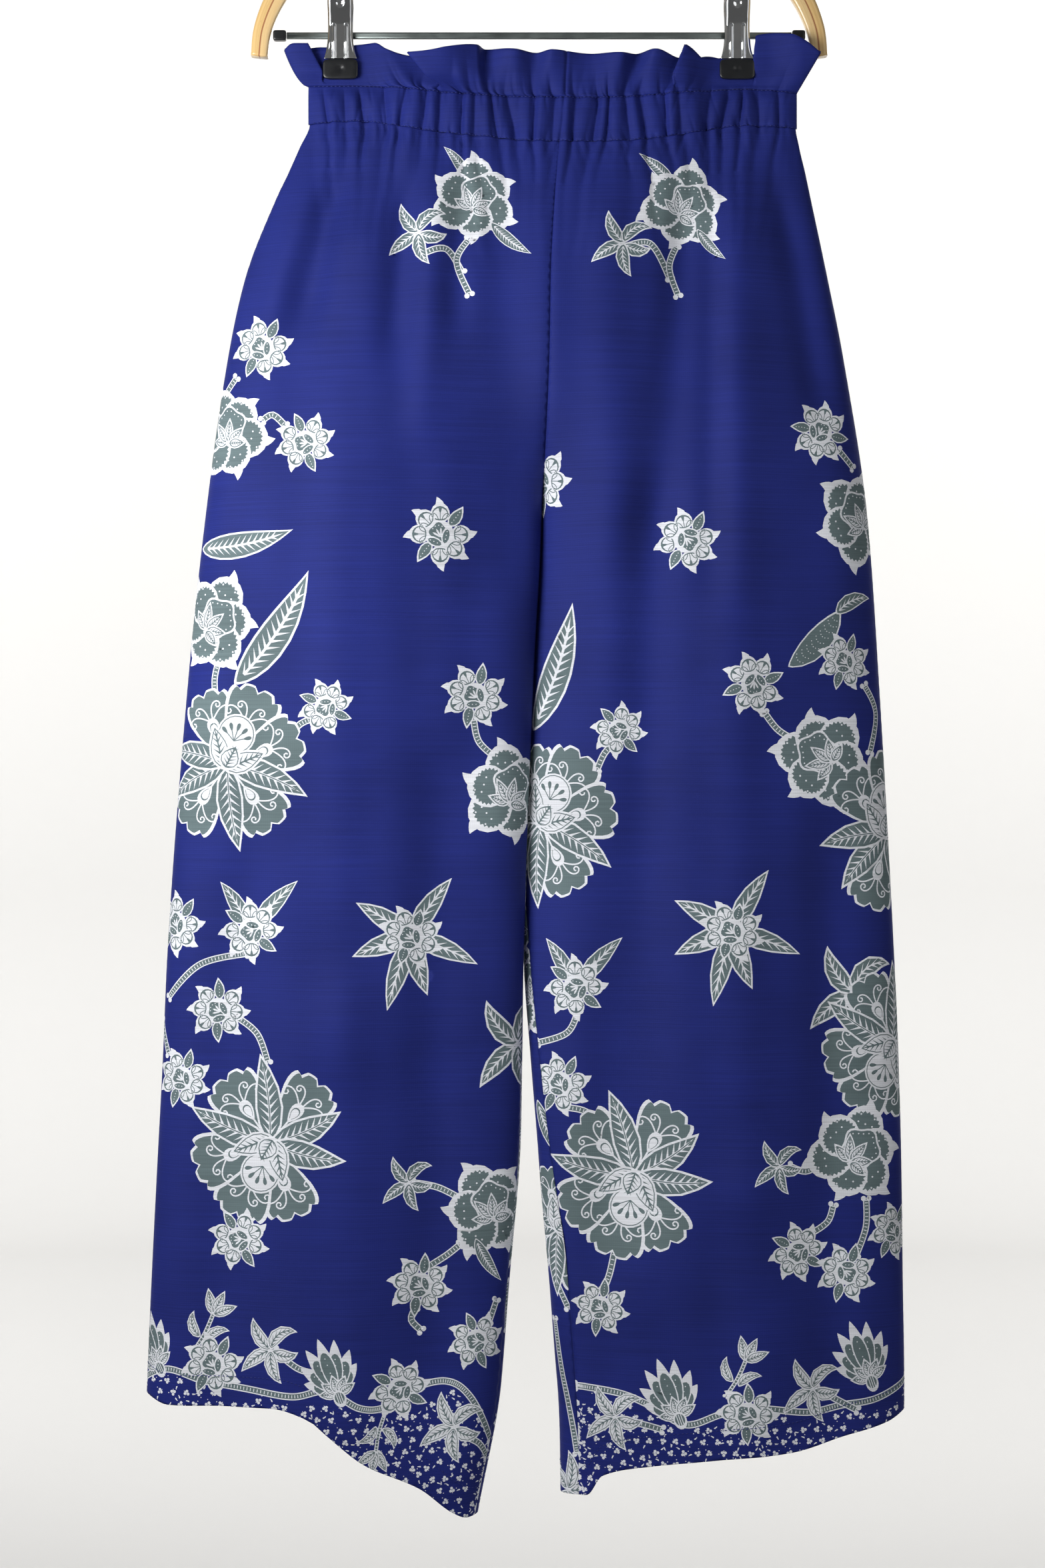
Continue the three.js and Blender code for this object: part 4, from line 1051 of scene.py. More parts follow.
# Where each motif lies as the viewer sees it: x, drop, size, turn in degrees, which leg.
LAYOUT = (
    ("long leaf", -49, 102, 0.55, 112, "left"),
    ("dotted", -46, 115, 1.06, 0, "left"),
    ("long leaf", -34, 132, 0.62, -52, "left"),
    ("sprig", -84, 140, 0.95, 0, "left"),
    ("long leaf", 96, 108, 0.6, 122, "right"),
    ("dotted", 102, 118, 1.06, -15, "right"),
    ("long leaf", 112, 134, 0.5, -62, "right"),
    ("sprig", 60, 145, 0.95, -6, "right"),
    ("rosette", -196, 223, 1.0, 10, "left"),
    ("dotted", -221, 282, 1.14, 20, "left"),
    ("rosette", -166, 288, 0.95, 60, "left"),
    ("rosette", -70, 352, 1.08, 0, "left"),
    ("rosette", 104, 357, 1.0, 190, "right"),
    ("rosette", 2, 313, 1.12, 40, "right"),
    ("rosette", 199, 282, 0.98, 300, "right"),
    ("dotted", 226, 344, 1.18, 50, "right"),
    ("long leaf", -238, 363, 1.25, -4, "left"),
    ("dotted", -232, 413, 1.20, -30, "left"),
    ("long leaf", -216, 458, 1.6, 43, "left"),
    ("scalloped", -221, 516, 1.24, 0, "left"),
    ("rosette", -152, 474, 0.86, 105, "left"),
    ("rosette", -46, 466, 1.02, 25, "left"),
    ("long leaf", -4, 492, 1.6, 57, "right"),
    ("dotted", -21, 535, 1.20, 10, "left"),
    ("scalloped", 1, 556, 1.24, -10, "right"),
    ("rosette", 56, 491, 0.86, 80, "right"),
    ("folded leaf", 176, 447, 0.9, 32, "right"),
    ("rosette", 151, 460, 0.98, 150, "right"),
    ("rosette", 217, 443, 0.9, 20, "right"),
    ("dotted", 201, 513, 1.20, 80, "right"),
    ("scalloped", 245, 563, 1.24, 20, "right"),
    ("rosette", -257, 629, 1.0, 0, "left"),
    ("ears", -204, 632, 1.0, -8, "left"),
    ("star", -91, 638, 1.0, 0, "left"),
    ("star", 137, 635, 1.0, 4, "right"),
    ("rosette", -227, 688, 0.98, 40, "left"),
    ("sprig", -15, 714, 1.5, 8, "left"),
    ("ears", 26, 674, 1.0, -8, "right"),
    ("sprig", 224, 679, 1.45, 0, "right"),
    ("scalloped", 250, 713, 1.18, 170, "right"),
    ("rosette", -253, 738, 0.95, 20, "left"),
    ("rosette", 15, 743, 0.98, 10, "right"),
    ("scalloped", -190, 785, 1.26, 178, "left"),
    ("scalloped", 68, 807, 1.26, 188, "right"),
    ("sprig", -92, 813, 0.82, 0, "left"),
    ("dotted", -35, 829, 1.18, 30, "left"),
    ("long leaf", -45, 850, 0.62, -70, "left"),
    ("sprig", 170, 801, 0.8, 0, "right"),
    ("dotted", 223, 790, 1.20, -20, "right"),
    ("rosette", -213, 854, 0.95, 70, "left"),
    ("rosette", -85, 885, 0.98, 30, "left"),
    ("rosette", -45, 924, 0.92, 60, "left"),
    ("rosette", 43, 901, 0.9, 30, "right"),
    ("rosette", 184, 862, 0.92, 100, "right"),
    ("rosette", 217, 876, 0.95, 200, "right"),
    ("rosette", 251, 846, 0.9, 10, "right"),
    ("twig", -246, 932, 0.95, 0, "left"),
    ("lotus", -270, 938, 0.95, 30, "left"),
    ("white sprig", -190, 930, 0.95, 0, "left"),
    ("lotus", -143, 958, 0.95, 20, "left"),
    ("twig", -110, 976, 0.85, 195, "left"),
    ("white sprig", -60, 987, 1.0, -10, "left"),
    ("rosette", -232, 943, 0.98, 10, "left"),
    ("rosette", -99, 957, 0.94, 100, "left"),
    ("white sprig", 54, 978, 0.95, 0, "right"),
    ("twig", 132, 962, 0.9, 0, "right"),
    ("lotus", 98, 975, 0.98, 20, "right"),
    ("white sprig", 194, 957, 0.95, 0, "right"),
    ("lotus", 234, 950, 1.0, 20, "right"),
    ("rosette", 148, 976, 0.95, 40, "right"),
)
# What shows on the back panels where they come round to the front at the inseams: how far round the
# panel, drop, size, turn, which leg.
WRAPPED = (
    ("scalloped", 0.99, 600, 0.99, 30, "right"),
    ("dotted", 0.975, 676, 1.20, 20, "right"),
    ("long leaf", 0.96, 752, 0.8, -82, "right"),
    ("folded leaf", 1.0, 800, 0.9, 240, "right"),
    ("scalloped", 0.985, 842, 0.99, -20, "right"),
    ("white sprig", 0.95, 1026, 1.1, 160, "right"),
    ("scalloped", 1.0, 776, 1.12, 0, "left"),
    ("dotted", 1.0, 845, 0.96, 0, "left"),
)
WRAPPED_STEMS = {
    "right": (((0.93, 862), (0.955, 880), (0.995, 898)), ((0.92, 906), (0.95, 950), (0.995, 1000))),
    "left": (((1.0, 880), (0.97, 915)),),
}
# Stems between them, as x and drop of two or three points each.
STEMS = {
    "left": (
        ((-214, 240), (-224, 258)),
        ((-196, 274), (-188, 270), (-180, 277)),
        ((-82, 156), (-66, 150), (-54, 168)),
        ((-50, 142), (-58, 160), (-50, 182)),
        ((-224, 436), (-230, 455), (-228, 474)),
        ((-182, 498), (-170, 486), (-158, 482)),
        ((-46, 484), (-42, 500), (-30, 512)),
        ((-262, 682), (-240, 656), (-208, 650)),
        ((-216, 696), (-200, 706), (-193, 726)),
        ((-266, 696), (-262, 722)),
        ((-198, 828), (-206, 842)),
        ((-2, 716), (-14, 716)),
        ((-90, 813), (-72, 816), (-56, 824)),
        ((-56, 856), (-66, 866), (-80, 874)),
        ((-88, 900), (-90, 908), (-84, 918)),
        ((-30, 895), (-36, 910)),
        ((-188, 932), (-172, 942), (-156, 946)),
        ((-60, 990), (-44, 994), (-34, 1006)),
    ),
    "right": (
        ((58, 150), (78, 148), (92, 172)),
        ((98, 146), (92, 164), (99, 184)),
        ((212, 292), (222, 308)),
        ((40, 520), (46, 508), (54, 500)),
        ((160, 480), (168, 490), (182, 498)),
        ((230, 458), (238, 480), (234, 508)),
        ((28, 690), (20, 704), (-4, 712)),
        ((18, 760), (34, 764), (44, 778)),
        ((228, 678), (240, 678), (254, 690)),
        ((176, 801), (190, 802), (204, 794)),
        ((208, 826), (204, 840), (192, 850)),
        ((232, 822), (232, 845), (224, 864)),
        ((54, 856), (50, 875), (46, 888)),
        ((58, 982), (72, 984), (88, 988)),
        ((196, 960), (210, 966), (226, 972)),
    ),
}
# The border's vine, above the ground of trefoils.
VINES = {
    "left": table(
        "x drop", (-290, 950), (-262, 944), (-236, 952), (-206, 960), (-176, 964), (-150, 960),
        (-128, 969), (-108, 970), (-88, 956), (-64, 955), (-48, 966), (-30, 994)
    ),
    "right": table(
        "x drop", (10, 958), (34, 955), (60, 960), (80, 972), (104, 984), (130, 974), (156, 972),
        (190, 976), (215, 970), (240, 966), (270, 950)
    ),
}


def panel_print(panel, layout_side, distance, aim):
    """All the inks of one leg panel, lowest first. The trefoils fill the border below the vine, each
    in its own cell of a slanted grid."""
    shapes = []
    vine = VINES[layout_side]
    for row, drop in enumerate(np.arange(*TREFOIL_DROPS, TREFOIL_ROW)):
        for column, x in enumerate(np.arange(*TREFOIL_EDGES[layout_side], TREFOIL_COLUMN)):
            x, low = x + TREFOIL_COLUMN / 2 * (row % 2), drop + 1.5 * np.sin(2.1 * column + row)
            if low < along(vine, "x", "drop", np.array([x]))[0] + 5:
                continue
            centre = panel.seen(x, low, distance, aim)
            shapes += moved(trefoil(53 * column + 110 * row), centre, size=TREFOIL_SIZE)
    path = np.stack([vine["x"], vine["drop"]], axis=-1)
    places = [panel.seen(x, drop, distance, aim) for x, drop in path]
    shapes += stem(places, 5.0, 2.0)
    for stretch in STEMS[layout_side]:
        shapes += stem([panel.seen(x, drop, distance, aim) for x, drop in stretch])
    for name, x, drop, size, degrees, side in LAYOUT:
        if side == layout_side:
            shapes += moved(MOTIFS[name](), panel.seen(x, drop, distance, aim), degrees, size)
    if panel.face < 0:
        own_side = "left" if panel.side < 0 else "right"
        for stretch in WRAPPED_STEMS[own_side]:
            shapes += stem(panel.flat(*np.array(stretch).T))
        for name, t, drop, size, degrees, side in WRAPPED:
            if side == own_side:
                centre = panel.flat(np.array([t]), np.array([float(drop)]))[0]
                shapes += moved(MOTIFS[name](), centre, degrees, size)
    return shapes


def inside_places(panel, spacing, coarse=1.0):
    """Places inside a flat panel, in staggered rows, closer near the waist where the gathers are."""
    spacing *= coarse
    levels = np.concatenate(
        (
            np.arange(WAIST_DROP + 1.0, GATHERED_TO, GATHERED_STEP * coarse),
            np.arange(GATHERED_TO + 0.5, PLEATED_TO, PLEATED_STEP * coarse),
            np.arange(PLEATED_TO + 2, HEM_DROP - 1, spacing * 0.95),
        )
    )
    side, face = panel.side, panel.face
    rows = []
    for k, level in enumerate(levels):
        across = spacing
        if level < PLEATED_TO:
            across = coarse * (GATHERED_STEP if level < GATHERED_TO else PLEATED_STEP_ACROSS)
        count = int(np.interp(level, panel.drops, panel.total) / across)
        u = (np.arange(count) + 0.3 + 0.4 * (k % 2)) / count
        t = panel.sample(panel.back, u, np.full(count, level))
        near_waist = 1 - smooth(WAIST_DROP, WAIST_SETTLED_DROP, level)
        near_hem = smooth(HEM_SETTLED_DROP, HEM_DROP, level)
        drop = level + (top_edge(side, face, t) - WAIST_DROP) * near_waist
        drop = drop + (bottom_edge(side, face, t) - HEM_DROP) * near_hem
        rows.append(panel.flat(t, drop))
    return np.concatenate(rows)


def triangles_of(outlines, places):
    """Triangles inside the first outline whose edges follow all of them: places, corners, and which
    outlines each triangle lies in."""
    faces, start = [], 0
    for outline in outlines:
        faces.append(list(range(start, start + len(outline))))
        start += len(outline)
    flat = np.concatenate((*outlines, places))
    spots = [Vector(pair) for pair in np.stack((flat.real, flat.imag), axis=-1).tolist()]
    spots, _, corners, _, _, sources = delaunay_2d_cdt(spots, [], faces, 1, 1e-5, True)
    kept = [k for k, source in enumerate(sources) if 0 in source]
    flat = np.array([complex(*spot) for spot in spots])
    return flat, np.array([corners[k] for k in kept]), [sources[k] for k in kept]


def printed_mesh(panel, shapes, spacing):
    """A flat panel's two layers. The outer one's triangles follow every shape of the print, and each
    has the ink of the last shape it lies in; the inner one is plain and coarser, inside the same rim.
    Returns both layers' places, the faces with the rim, and each face's ink."""
    outlines = [panel.outline(spacing * 0.7)] + [anticlockwise(outline) for _, outline in shapes]
    inks = np.array([NAVY] + [ink for ink, _ in shapes])
    outer, faces, sources = triangles_of(outlines, inside_places(panel, spacing))
    used, faces = np.unique(faces, return_inverse=True)
    outer, faces = outer[used], faces.reshape(-1, 3)

    # An outline that crosses itself can spill over the whole panel, and such a shape is left out.
    # It happens once: the grey heart of the border's vine on the back right panel, white there.
    a, b, c = outer[faces].T
    area = np.abs(((b - a).conjugate() * (c - a)).imag) / 2
    covered = np.zeros(len(outlines))
    for size, source in zip(area, sources):
        covered[source] += size
    own = np.array([abs((o.conjugate() * np.roll(o, -1)).imag.sum()) / 2 for o in outlines])
    sound = covered < SPILL * own + 1
    sound[0] = True
    ink = inks[[max(k for k in source if sound[k]) for source in sources]]

    # The rim goes along the edges that only one triangle has.
    edges = {tuple(e) for k in range(3) for e in np.roll(faces, k, axis=1)[:, :2].tolist()}
    ahead = {a: b for a, b in edges if (b, a) not in edges}
    rim = [min(ahead)]
    while ahead[rim[-1]] != rim[0]:
        rim.append(ahead[rim[-1]])
    inner, plain, _ = triangles_of([outer[rim]], inside_places(panel, spacing, INNER_COARSENESS))
    under = np.array([np.abs(inner - place).argmin() for place in outer[rim]]) + len(outer)
    after = np.roll(rim, -1)
    band = np.stack((after, rim, under, np.roll(under, -1)), axis=-1)
    faces = faces.tolist() + (plain[:, ::-1] + len(outer)).tolist() + band.tolist()
    ink = np.concatenate((ink, np.full(len(plain) + len(band), NAVY)))
    return np.concatenate((outer, inner)), faces, ink


def two_layers(points, faces, thickness):
    """Moves each point half a thickness along its layer's own normal: the outer layer's out and the
    inner layer's, whose faces are turned over, in. The rim's four-sided faces don't count."""
    corners = np.array([face for face in faces if len(face) == 3])
    a, b, c = (points[corners[:, k]] for k in range(3))
    square = np.cross(b - a, c - a)
    normals = np.zeros(points.shape)
    for k in range(3):
        np.add.at(normals, corners[:, k], square)
    normals /= np.linalg.norm(normals, axis=1, keepdims=True) + 1e-12
    return points + thickness / 2 * normals


# Settings


class ClothSettings(bpy.types.PropertyGroup):
    """Sizes and colours of the trousers."""

    thickness: bpy.props.FloatProperty(
        name="Cloth thickness", description="One layer of the rayon, in millimetres", default=0.7
    )
    grid: bpy.props.FloatProperty(
        name="Cloth grid", description="Spacing of the cloth's points, in millimetres", default=4.4
    )
    thread: bpy.props.FloatProperty(
        name="Thread spacing",
        description="From one thread to the next, in millimetres, drawn at twice the real spacing",
        default=0.7,
    )
    stitch: bpy.props.FloatProperty(
        name="Stitch length", description="One machine stitch, in millimetres", default=2.3
    )
    navy: bpy.props.FloatVectorProperty(
        name="Ground", description="The dyed ground", subtype="COLOR", size=4, default=linear("#1f2a78")
    )
    white: bpy.props.FloatVectorProperty(
        name="White", description="Undyed print", subtype="COLOR", size=4, default=linear("#eef0f6")
    )
    grey: bpy.props.FloatVectorProperty(
        name="Grey", description="Grey-green print", subtype="COLOR", size=4, default=linear("#697a7d")
    )


class HangerSettings(bpy.types.PropertyGroup):
    """Colours of the hanger."""

    wood: bpy.props.FloatVectorProperty(
        name="Wood", description="Lacquered pale wood", subtype="COLOR", size=4, default=linear("#ecc98a")
    )
    steel: bpy.props.FloatVectorProperty(
        name="Bar", description="Dull zinc plating", subtype="COLOR", size=4, default=linear("#7d8583")
    )
    chrome: bpy.props.FloatVectorProperty(
        name="Chrome", description="Clips and hook", subtype="COLOR", size=4, default=linear("#d4d6d8")
    )
    rubber: bpy.props.FloatVectorProperty(
        name="Rubber", description="Boots and caps", subtype="COLOR", size=4, default=linear("#0d0e10")
    )


class StudioSettings(bpy.types.PropertyGroup):
    """The view and the light."""

    distance: bpy.props.FloatProperty(
        name="Camera distance", description="From the cloth to the lens", subtype="DISTANCE", default=2.1
    )
    aim_x: bpy.props.FloatProperty(
        name="Aim across", description="Across the picture's middle", subtype="DISTANCE", default=-0.0118
    )
    aim_z: bpy.props.FloatProperty(
        name="Aim height", description="Height of the picture's middle", subtype="DISTANCE", default=-0.7046
    )
    view_height: bpy.props.FloatProperty(
        name="View height", description="Height of cloth in view", subtype="DISTANCE", default=1.110
    )
    paper: bpy.props.FloatVectorProperty(
        name="Backdrop", description="Pale backdrop", subtype="COLOR", size=4, default=linear("#bdbcba")
    )


# Materials


def cloth_material(name, colour, settings):
    """Plain-woven rayon, dyed through: a dry, slightly silky face with a fine even weave whose colour
    carries painted shade between the threads, faint lines across it where threads are thicker, and a soft
    sheen along its folds."""
    made, tree, shader = new_material(
        name, Roughness=0.68, Sheen_Weight=0.04, Sheen_Roughness=0.4, Specular_IOR_Level=0.16
    )
    shader.inputs["Sheen Tint"].default_value = linear("#c9cdf0")
    place = add_node(tree, "ShaderNodeUVMap", {"uv_map": "cloth"}).outputs["UV"]
    # A wave node's bands repeat every 2 pi / 20 of its scaled coordinate.
    wave_scale = 2 * np.pi / 20 / (settings.thread * MM)
    bands = [
        add_node(
            tree,
            "ShaderNodeTexWave",
            {"bands_direction": direction},
            {"Vector": place, "Scale": wave_scale, "Distortion": 1.2, "Detail": 1.0},
        ).outputs["Fac"]
        for direction in ("X", "Y")
    ]
    weave = add_node(tree, "ShaderNodeMath", {"operation": "MULTIPLY"}, {0: bands[0], 1: bands[1]})
    stretched = add_node(
        tree, "ShaderNodeMapping", (), {"Vector": place, "Scale": (12.0, 900.0, 1.0)}
    )
    slubs = add_node(
        tree, "ShaderNodeTexNoise", (), {"Vector": stretched.outputs["Vector"], "Scale": 1.0, "Detail": 3.0}
    )
    cloudy = add_node(tree, "ShaderNodeTexNoise", (), {"Vector": place, "Scale": 14.0, "Detail": 2.0})
    mottle = add_node(
        tree, "ShaderNodeMath", {"operation": "ADD"}, {0: slubs.outputs["Fac"], 1: cloudy.outputs["Fac"]}
    )
    bright = add_node(
        tree,
        "ShaderNodeMapRange",
        (),
        {"Value": mottle.outputs[0], "From Min": 0.6, "From Max": 1.4, "To Min": 0.76, "To Max": 1.24},
    )
    # Painted shade: the ground's colour drops to 0.86 of itself where the weave's bands are low, between
    # the threads.
    shaded = add_node(
        tree,
        "ShaderNodeMapRange",
        (),
        {"Value": weave.outputs[0], "From Max": 0.6, "To Min": 0.86, "To Max": 1.04},
    )
    total = add_node(
        tree, "ShaderNodeMath", {"operation": "MULTIPLY"}, {0: bright.outputs[0], 1: shaded.outputs[0]}
    )
    tinted = add_node(
        tree,
        "ShaderNodeVectorMath",
        {"operation": "SCALE"},
        {0: colour[:3], "Scale": total.outputs[0]},
    )
    tree.links.new(tinted.outputs[0], shader.inputs["Base Color"])
    bump = add_node(
        tree,
        "ShaderNodeBump",
        (),
        {"Strength": 0.35, "Distance": 0.0002, "Height": weave.outputs[0]},
    )
    tree.links.new(bump.outputs[0], shader.inputs["Normal"])
    return made


def thread_material(settings):
    """Spun polyester sewing thread in the ground's colour, mottled along its twist from darker to a little
    brighter than the cloth: the brighter tone is a painted highlight, so each stitch catches the light."""
    made, tree, shader = new_material("spun_polyester_thread", Roughness=0.6)
    place = add_node(tree, "ShaderNodeTexCoord").outputs["Object"]
    # Painted highlight: noise mottles the thread along its twist between 0.6 and 1.3 times the ground, and
    # the brighter end stands in for light caught by each stitch.
    twist_and_highlight = add_node(tree, "ShaderNodeTexNoise", (), {"Vector": place, "Scale": 2500.0, "Detail": 1.0})
    ramp = add_node(tree, "ShaderNodeMix", {"data_type": "RGBA"}, {"Factor": twist_and_highlight.outputs["Fac"]})
    ramp.inputs[6].default_value = tuple(0.6 * c for c in settings.navy[:3]) + (1,)
    ramp.inputs[7].default_value = tuple(1.3 * c for c in settings.navy[:3]) + (1,)
    tree.links.new(ramp.outputs[2], shader.inputs["Base Color"])
    return made


def wood_material(settings):
    """Clear-lacquered laminated beech: pale straw wood in two tones with long fine grain, a thin
    red-brown glue line along its middle and a hard glossy coat."""
    made, tree, shader = new_material(
        "lacquered_laminated_beech", Roughness=0.35, Coat_Weight=0.6, Coat_Roughness=0.12
    )
    place = add_node(tree, "ShaderNodeUVMap", {"uv_map": "cloth"}).outputs["UV"]
    stretched = add_node(tree, "ShaderNodeMapping", (), {"Vector": place, "Scale": (18.0, 900.0, 1.0)})
    grain = add_node(
        tree, "ShaderNodeTexNoise", (), {"Vector": stretched.outputs[0], "Scale": 1.0, "Detail": 4.0}
    )
    flecks = add_node(tree, "ShaderNodeMapping", (), {"Vector": place, "Scale": (160.0, 1500.0, 1.0)})
    fleck = add_node(
        tree, "ShaderNodeTexNoise", (), {"Vector": flecks.outputs[0], "Scale": 1.0, "Detail": 1.0}
    )
    pale = settings.wood[:3]
    tones = add_node(tree, "ShaderNodeValToRGB", (), {"Fac": grain.outputs["Fac"]})
    tones.color_ramp.elements[0].position, tones.color_ramp.elements[1].position = 0.3, 0.7
    tones.color_ramp.elements[0].color = (pale[0] * 0.86, pale[1] * 0.78, pale[2] * 0.66, 1)
    tones.color_ramp.elements[1].color = (*pale, 1)
    across = add_node(tree, "ShaderNodeSeparateXYZ", (), {"Vector": place}).outputs["Y"]
    upper = add_node(
        tree, "ShaderNodeMapRange", (), {"Value": across, "From Min": -0.0004, "From Max": 0.0004}
    )
    lighter = add_node(
        tree,
        "ShaderNodeMix",
        {"data_type": "RGBA", "blend_type": "SCREEN"},
        {"Factor": upper.outputs[0], 6: tones.outputs["Color"], 7: (0.1, 0.09, 0.07, 1)},
    )
    speckled = add_node(
        tree,
        "ShaderNodeMapRange",
        (),
        {"Value": fleck.outputs["Fac"], "From Min": 0.68, "From Max": 0.75, "To Min": 0.0, "To Max": 0.35},
    )
    flecked = add_node(
        tree,
        "ShaderNodeMix",
        {"data_type": "RGBA"},
        {"Factor": speckled.outputs[0], 6: lighter.outputs[2], 7: linear("#a9793f")},
    )
    off = add_node(tree, "ShaderNodeMath", {"operation": "ABSOLUTE"}, {0: across})
    line = add_node(
        tree,
        "ShaderNodeMapRange",
        (),
        {"Value": off.outputs[0], "From Min": 0.0003, "From Max": 0.0007, "To Min": 0.85, "To Max": 0.0},
    )
    glued = add_node(
        tree,
        "ShaderNodeMix",
        {"data_type": "RGBA"},
        {"Factor": line.outputs[0], 6: flecked.outputs[2], 7: linear("#9a5230")},
    )
    tree.links.new(glued.outputs[2], shader.inputs["Base Color"])
    bump = add_node(
        tree, "ShaderNodeBump", (), {"Strength": 0.1, "Distance": 0.0002, "Height": grain.outputs["Fac"]}
    )
    tree.links.new(bump.outputs[0], shader.inputs["Normal"])
    return made


def metal_material(name, colour, rough, scratch):
    """Plated steel. Fine lines and a faint cloudiness break up its reflections: few on polished
    chrome, many on the dull bar."""
    made, tree, shader = new_material(name, Metallic=1.0, Base_Color=(*colour[:3], 1))
    place = add_node(tree, "ShaderNodeTexCoord").outputs["Object"]
    stretched = add_node(tree, "ShaderNodeMapping", (), {"Vector": place, "Scale": (60.0, 900.0, 900.0)})
    lines = add_node(
        tree, "ShaderNodeTexNoise", (), {"Vector": stretched.outputs[0], "Scale": 1.0, "Detail": 3.0}
    )
    cloudy = add_node(tree, "ShaderNodeTexNoise", (), {"Vector": place, "Scale": 90.0, "Detail": 3.0})
    blend = add_node(
        tree,
        "ShaderNodeMath",
        {"operation": "MULTIPLY"},
        {0: lines.outputs["Fac"], 1: cloudy.outputs["Fac"]},
    )
    gloss = add_node(
        tree,
        "ShaderNodeMapRange",
        (),
        {"Value": blend.outputs[0], "From Max": 0.5, "To Min": rough * 0.6, "To Max": rough * 1.5},
    )
    tree.links.new(gloss.outputs[0], shader.inputs["Roughness"])
    bump = add_node(
        tree,
        "ShaderNodeBump",
        (),
        {"Strength": scratch, "Distance": 0.0001, "Height": lines.outputs["Fac"]},
    )
    tree.links.new(bump.outputs[0], shader.inputs["Normal"])
    return made


def rubber_material(settings):
    """Moulded black PVC: near black with a soft satin shine and a faint pebbled skin."""
    made, tree, shader = new_material("moulded_black_pvc", Coat_Weight=0.15, Coat_Roughness=0.3)
    place = add_node(tree, "ShaderNodeTexCoord").outputs["Object"]
    grain = add_node(tree, "ShaderNodeTexNoise", (), {"Vector": place, "Scale": 1400.0, "Detail": 2.0})
    dust = add_node(tree, "ShaderNodeTexNoise", (), {"Vector": place, "Scale": 160.0, "Detail": 3.0})
    tone = add_node(
        tree,
        "ShaderNodeMix",
        {"data_type": "RGBA"},
        {"Factor": dust.outputs["Fac"], 6: tuple(settings.rubber), 7: linear("#191b1e")},
    )
    tree.links.new(tone.outputs[2], shader.inputs["Base Color"])
    rough = add_node(
        tree, "ShaderNodeMapRange", (), {"Value": dust.outputs["Fac"], "To Min": 0.22, "To Max": 0.42}
    )
    tree.links.new(rough.outputs[0], shader.inputs["Roughness"])
    bump = add_node(
        tree, "ShaderNodeBump", (), {"Strength": 0.12, "Distance": 0.0001, "Height": grain.outputs["Fac"]}
    )
    tree.links.new(bump.outputs[0], shader.inputs["Normal"])
    return made


# Operators


class LOUNGE_OT_studio(bpy.types.Operator):
    """Set the camera, the lights and a pale round backdrop with a curved foot"""

    bl_idname = "lounge.studio"
    bl_label = "Studio"

    def execute(self, context):
        settings = context.scene.lounge_studio
        data = bpy.data.cameras.new("camera")
        data.sensor_width = 36
        data.lens = data.sensor_width * settings.distance / settings.view_height
        camera = bpy.data.objects.new("camera", data)
        camera.location = (settings.aim_x, -settings.distance, settings.aim_z)
        camera.rotation_euler = (np.pi / 2, 0, 0)
        context.scene.collection.objects.link(camera)
        context.scene.camera = camera

        # A floor, a quarter-circle foot and a wall, as one profile turned about the vertical.
        floor_z, reach, foot, top = -1900, 6500, 900, 2600
        angle = np.linspace(-np.pi / 2, 0, 16)
        radius = np.concatenate(([reach - 2 * foot], reach - foot + foot * np.cos(angle), [reach]))
        height = np.concatenate(([floor_z], floor_z + foot + foot * np.sin(angle), [top]))
        turn = np.linspace(0, 2 * np.pi, 97)
        bowl = np.stack(
            (
                radius[:, None] * np.cos(turn),
                radius[:, None] * np.sin(turn),
                np.broadcast_to(height[:, None], (len(height), len(turn))),
            ),
            axis=-1,
        )
        disc = np.stack((radius[0] * np.cos(turn[:-1]), radius[0] * np.sin(turn[:-1])), axis=-1)
        floor = np.concatenate((disc, np.full((len(disc), 1), floor_z)), axis=1)
        points = np.concatenate((bowl.reshape(-1, 3), floor))
        faces = grid_faces(*bowl.shape[:2])[:, ::-1].tolist()
        faces.append(list(range(len(points) - len(disc), len(points))))
        mesh = bpy.data.meshes.new("backdrop")
        mesh.from_pydata((points * MM).tolist(), [], faces)
        mesh.shade_smooth()
        paper, _, shader = new_material("matt_backdrop_paper", Roughness=0.9)
        shader.inputs["Base Color"].default_value = settings.paper
        mesh.materials.append(paper)
        backdrop = bpy.data.objects.new("backdrop", mesh)
        context.scene.collection.objects.link(backdrop)

        for name, place, aim, size, power in (
            ("key_light", (-0.66, -0.66, -0.42), (0, 0, -0.55), 0.5, 10.3),
            ("fill_light", (1.6, -1.6, -0.3), (0, 0, -0.6), 1.4, 7.6),
            ("back_light", (0.6, 2.8, 0.8), (0, 0, -0.7), 2.0, 26),
            ("left_wall_light", (-3.4, 2.4, 1.4), (-1.2, 6.4, 1.3), 2.2, 330),
            ("right_wall_light", (3.4, 2.4, 1.4), (1.2, 6.4, 1.3), 2.2, 305),
        ):
            light = bpy.data.lights.new(name, "AREA")
            light.size, light.energy = size, power
            lamp = bpy.data.objects.new(name, light)
            lamp.location = place
            lamp.rotation_euler = (Vector(aim) - lamp.location).to_track_quat("-Z", "Y").to_euler()
            lamp.visible_camera = False
            context.scene.collection.objects.link(lamp)
        world = bpy.data.worlds.new("studio_air")
        world.use_nodes = True
        world.node_tree.nodes["Background"].inputs["Color"].default_value = linear("#f4f6fa")
        world.node_tree.nodes["Background"].inputs["Strength"].default_value = 0.2
        context.scene.view_settings.view_transform = "Standard"
        context.scene.world = world
        return {"FINISHED"}


def cloth_materials(settings):
    """The three materials of the printed cloth, in the order of the print's inks."""
    return [
        cloth_material("navy_dyed_rayon", settings.navy, settings),
        cloth_material("undyed_white_rayon", settings.white, settings),
        cloth_material("grey_printed_rayon", settings.grey, settings),
    ]


def thicken(piece, thickness):
    """Gives a cloth surface its thickness, half to each side of its middle."""
    solidify = piece.modifiers.new("thickness", "SOLIDIFY")
    solidify.thickness = thickness * MM
    solidify.offset = 0


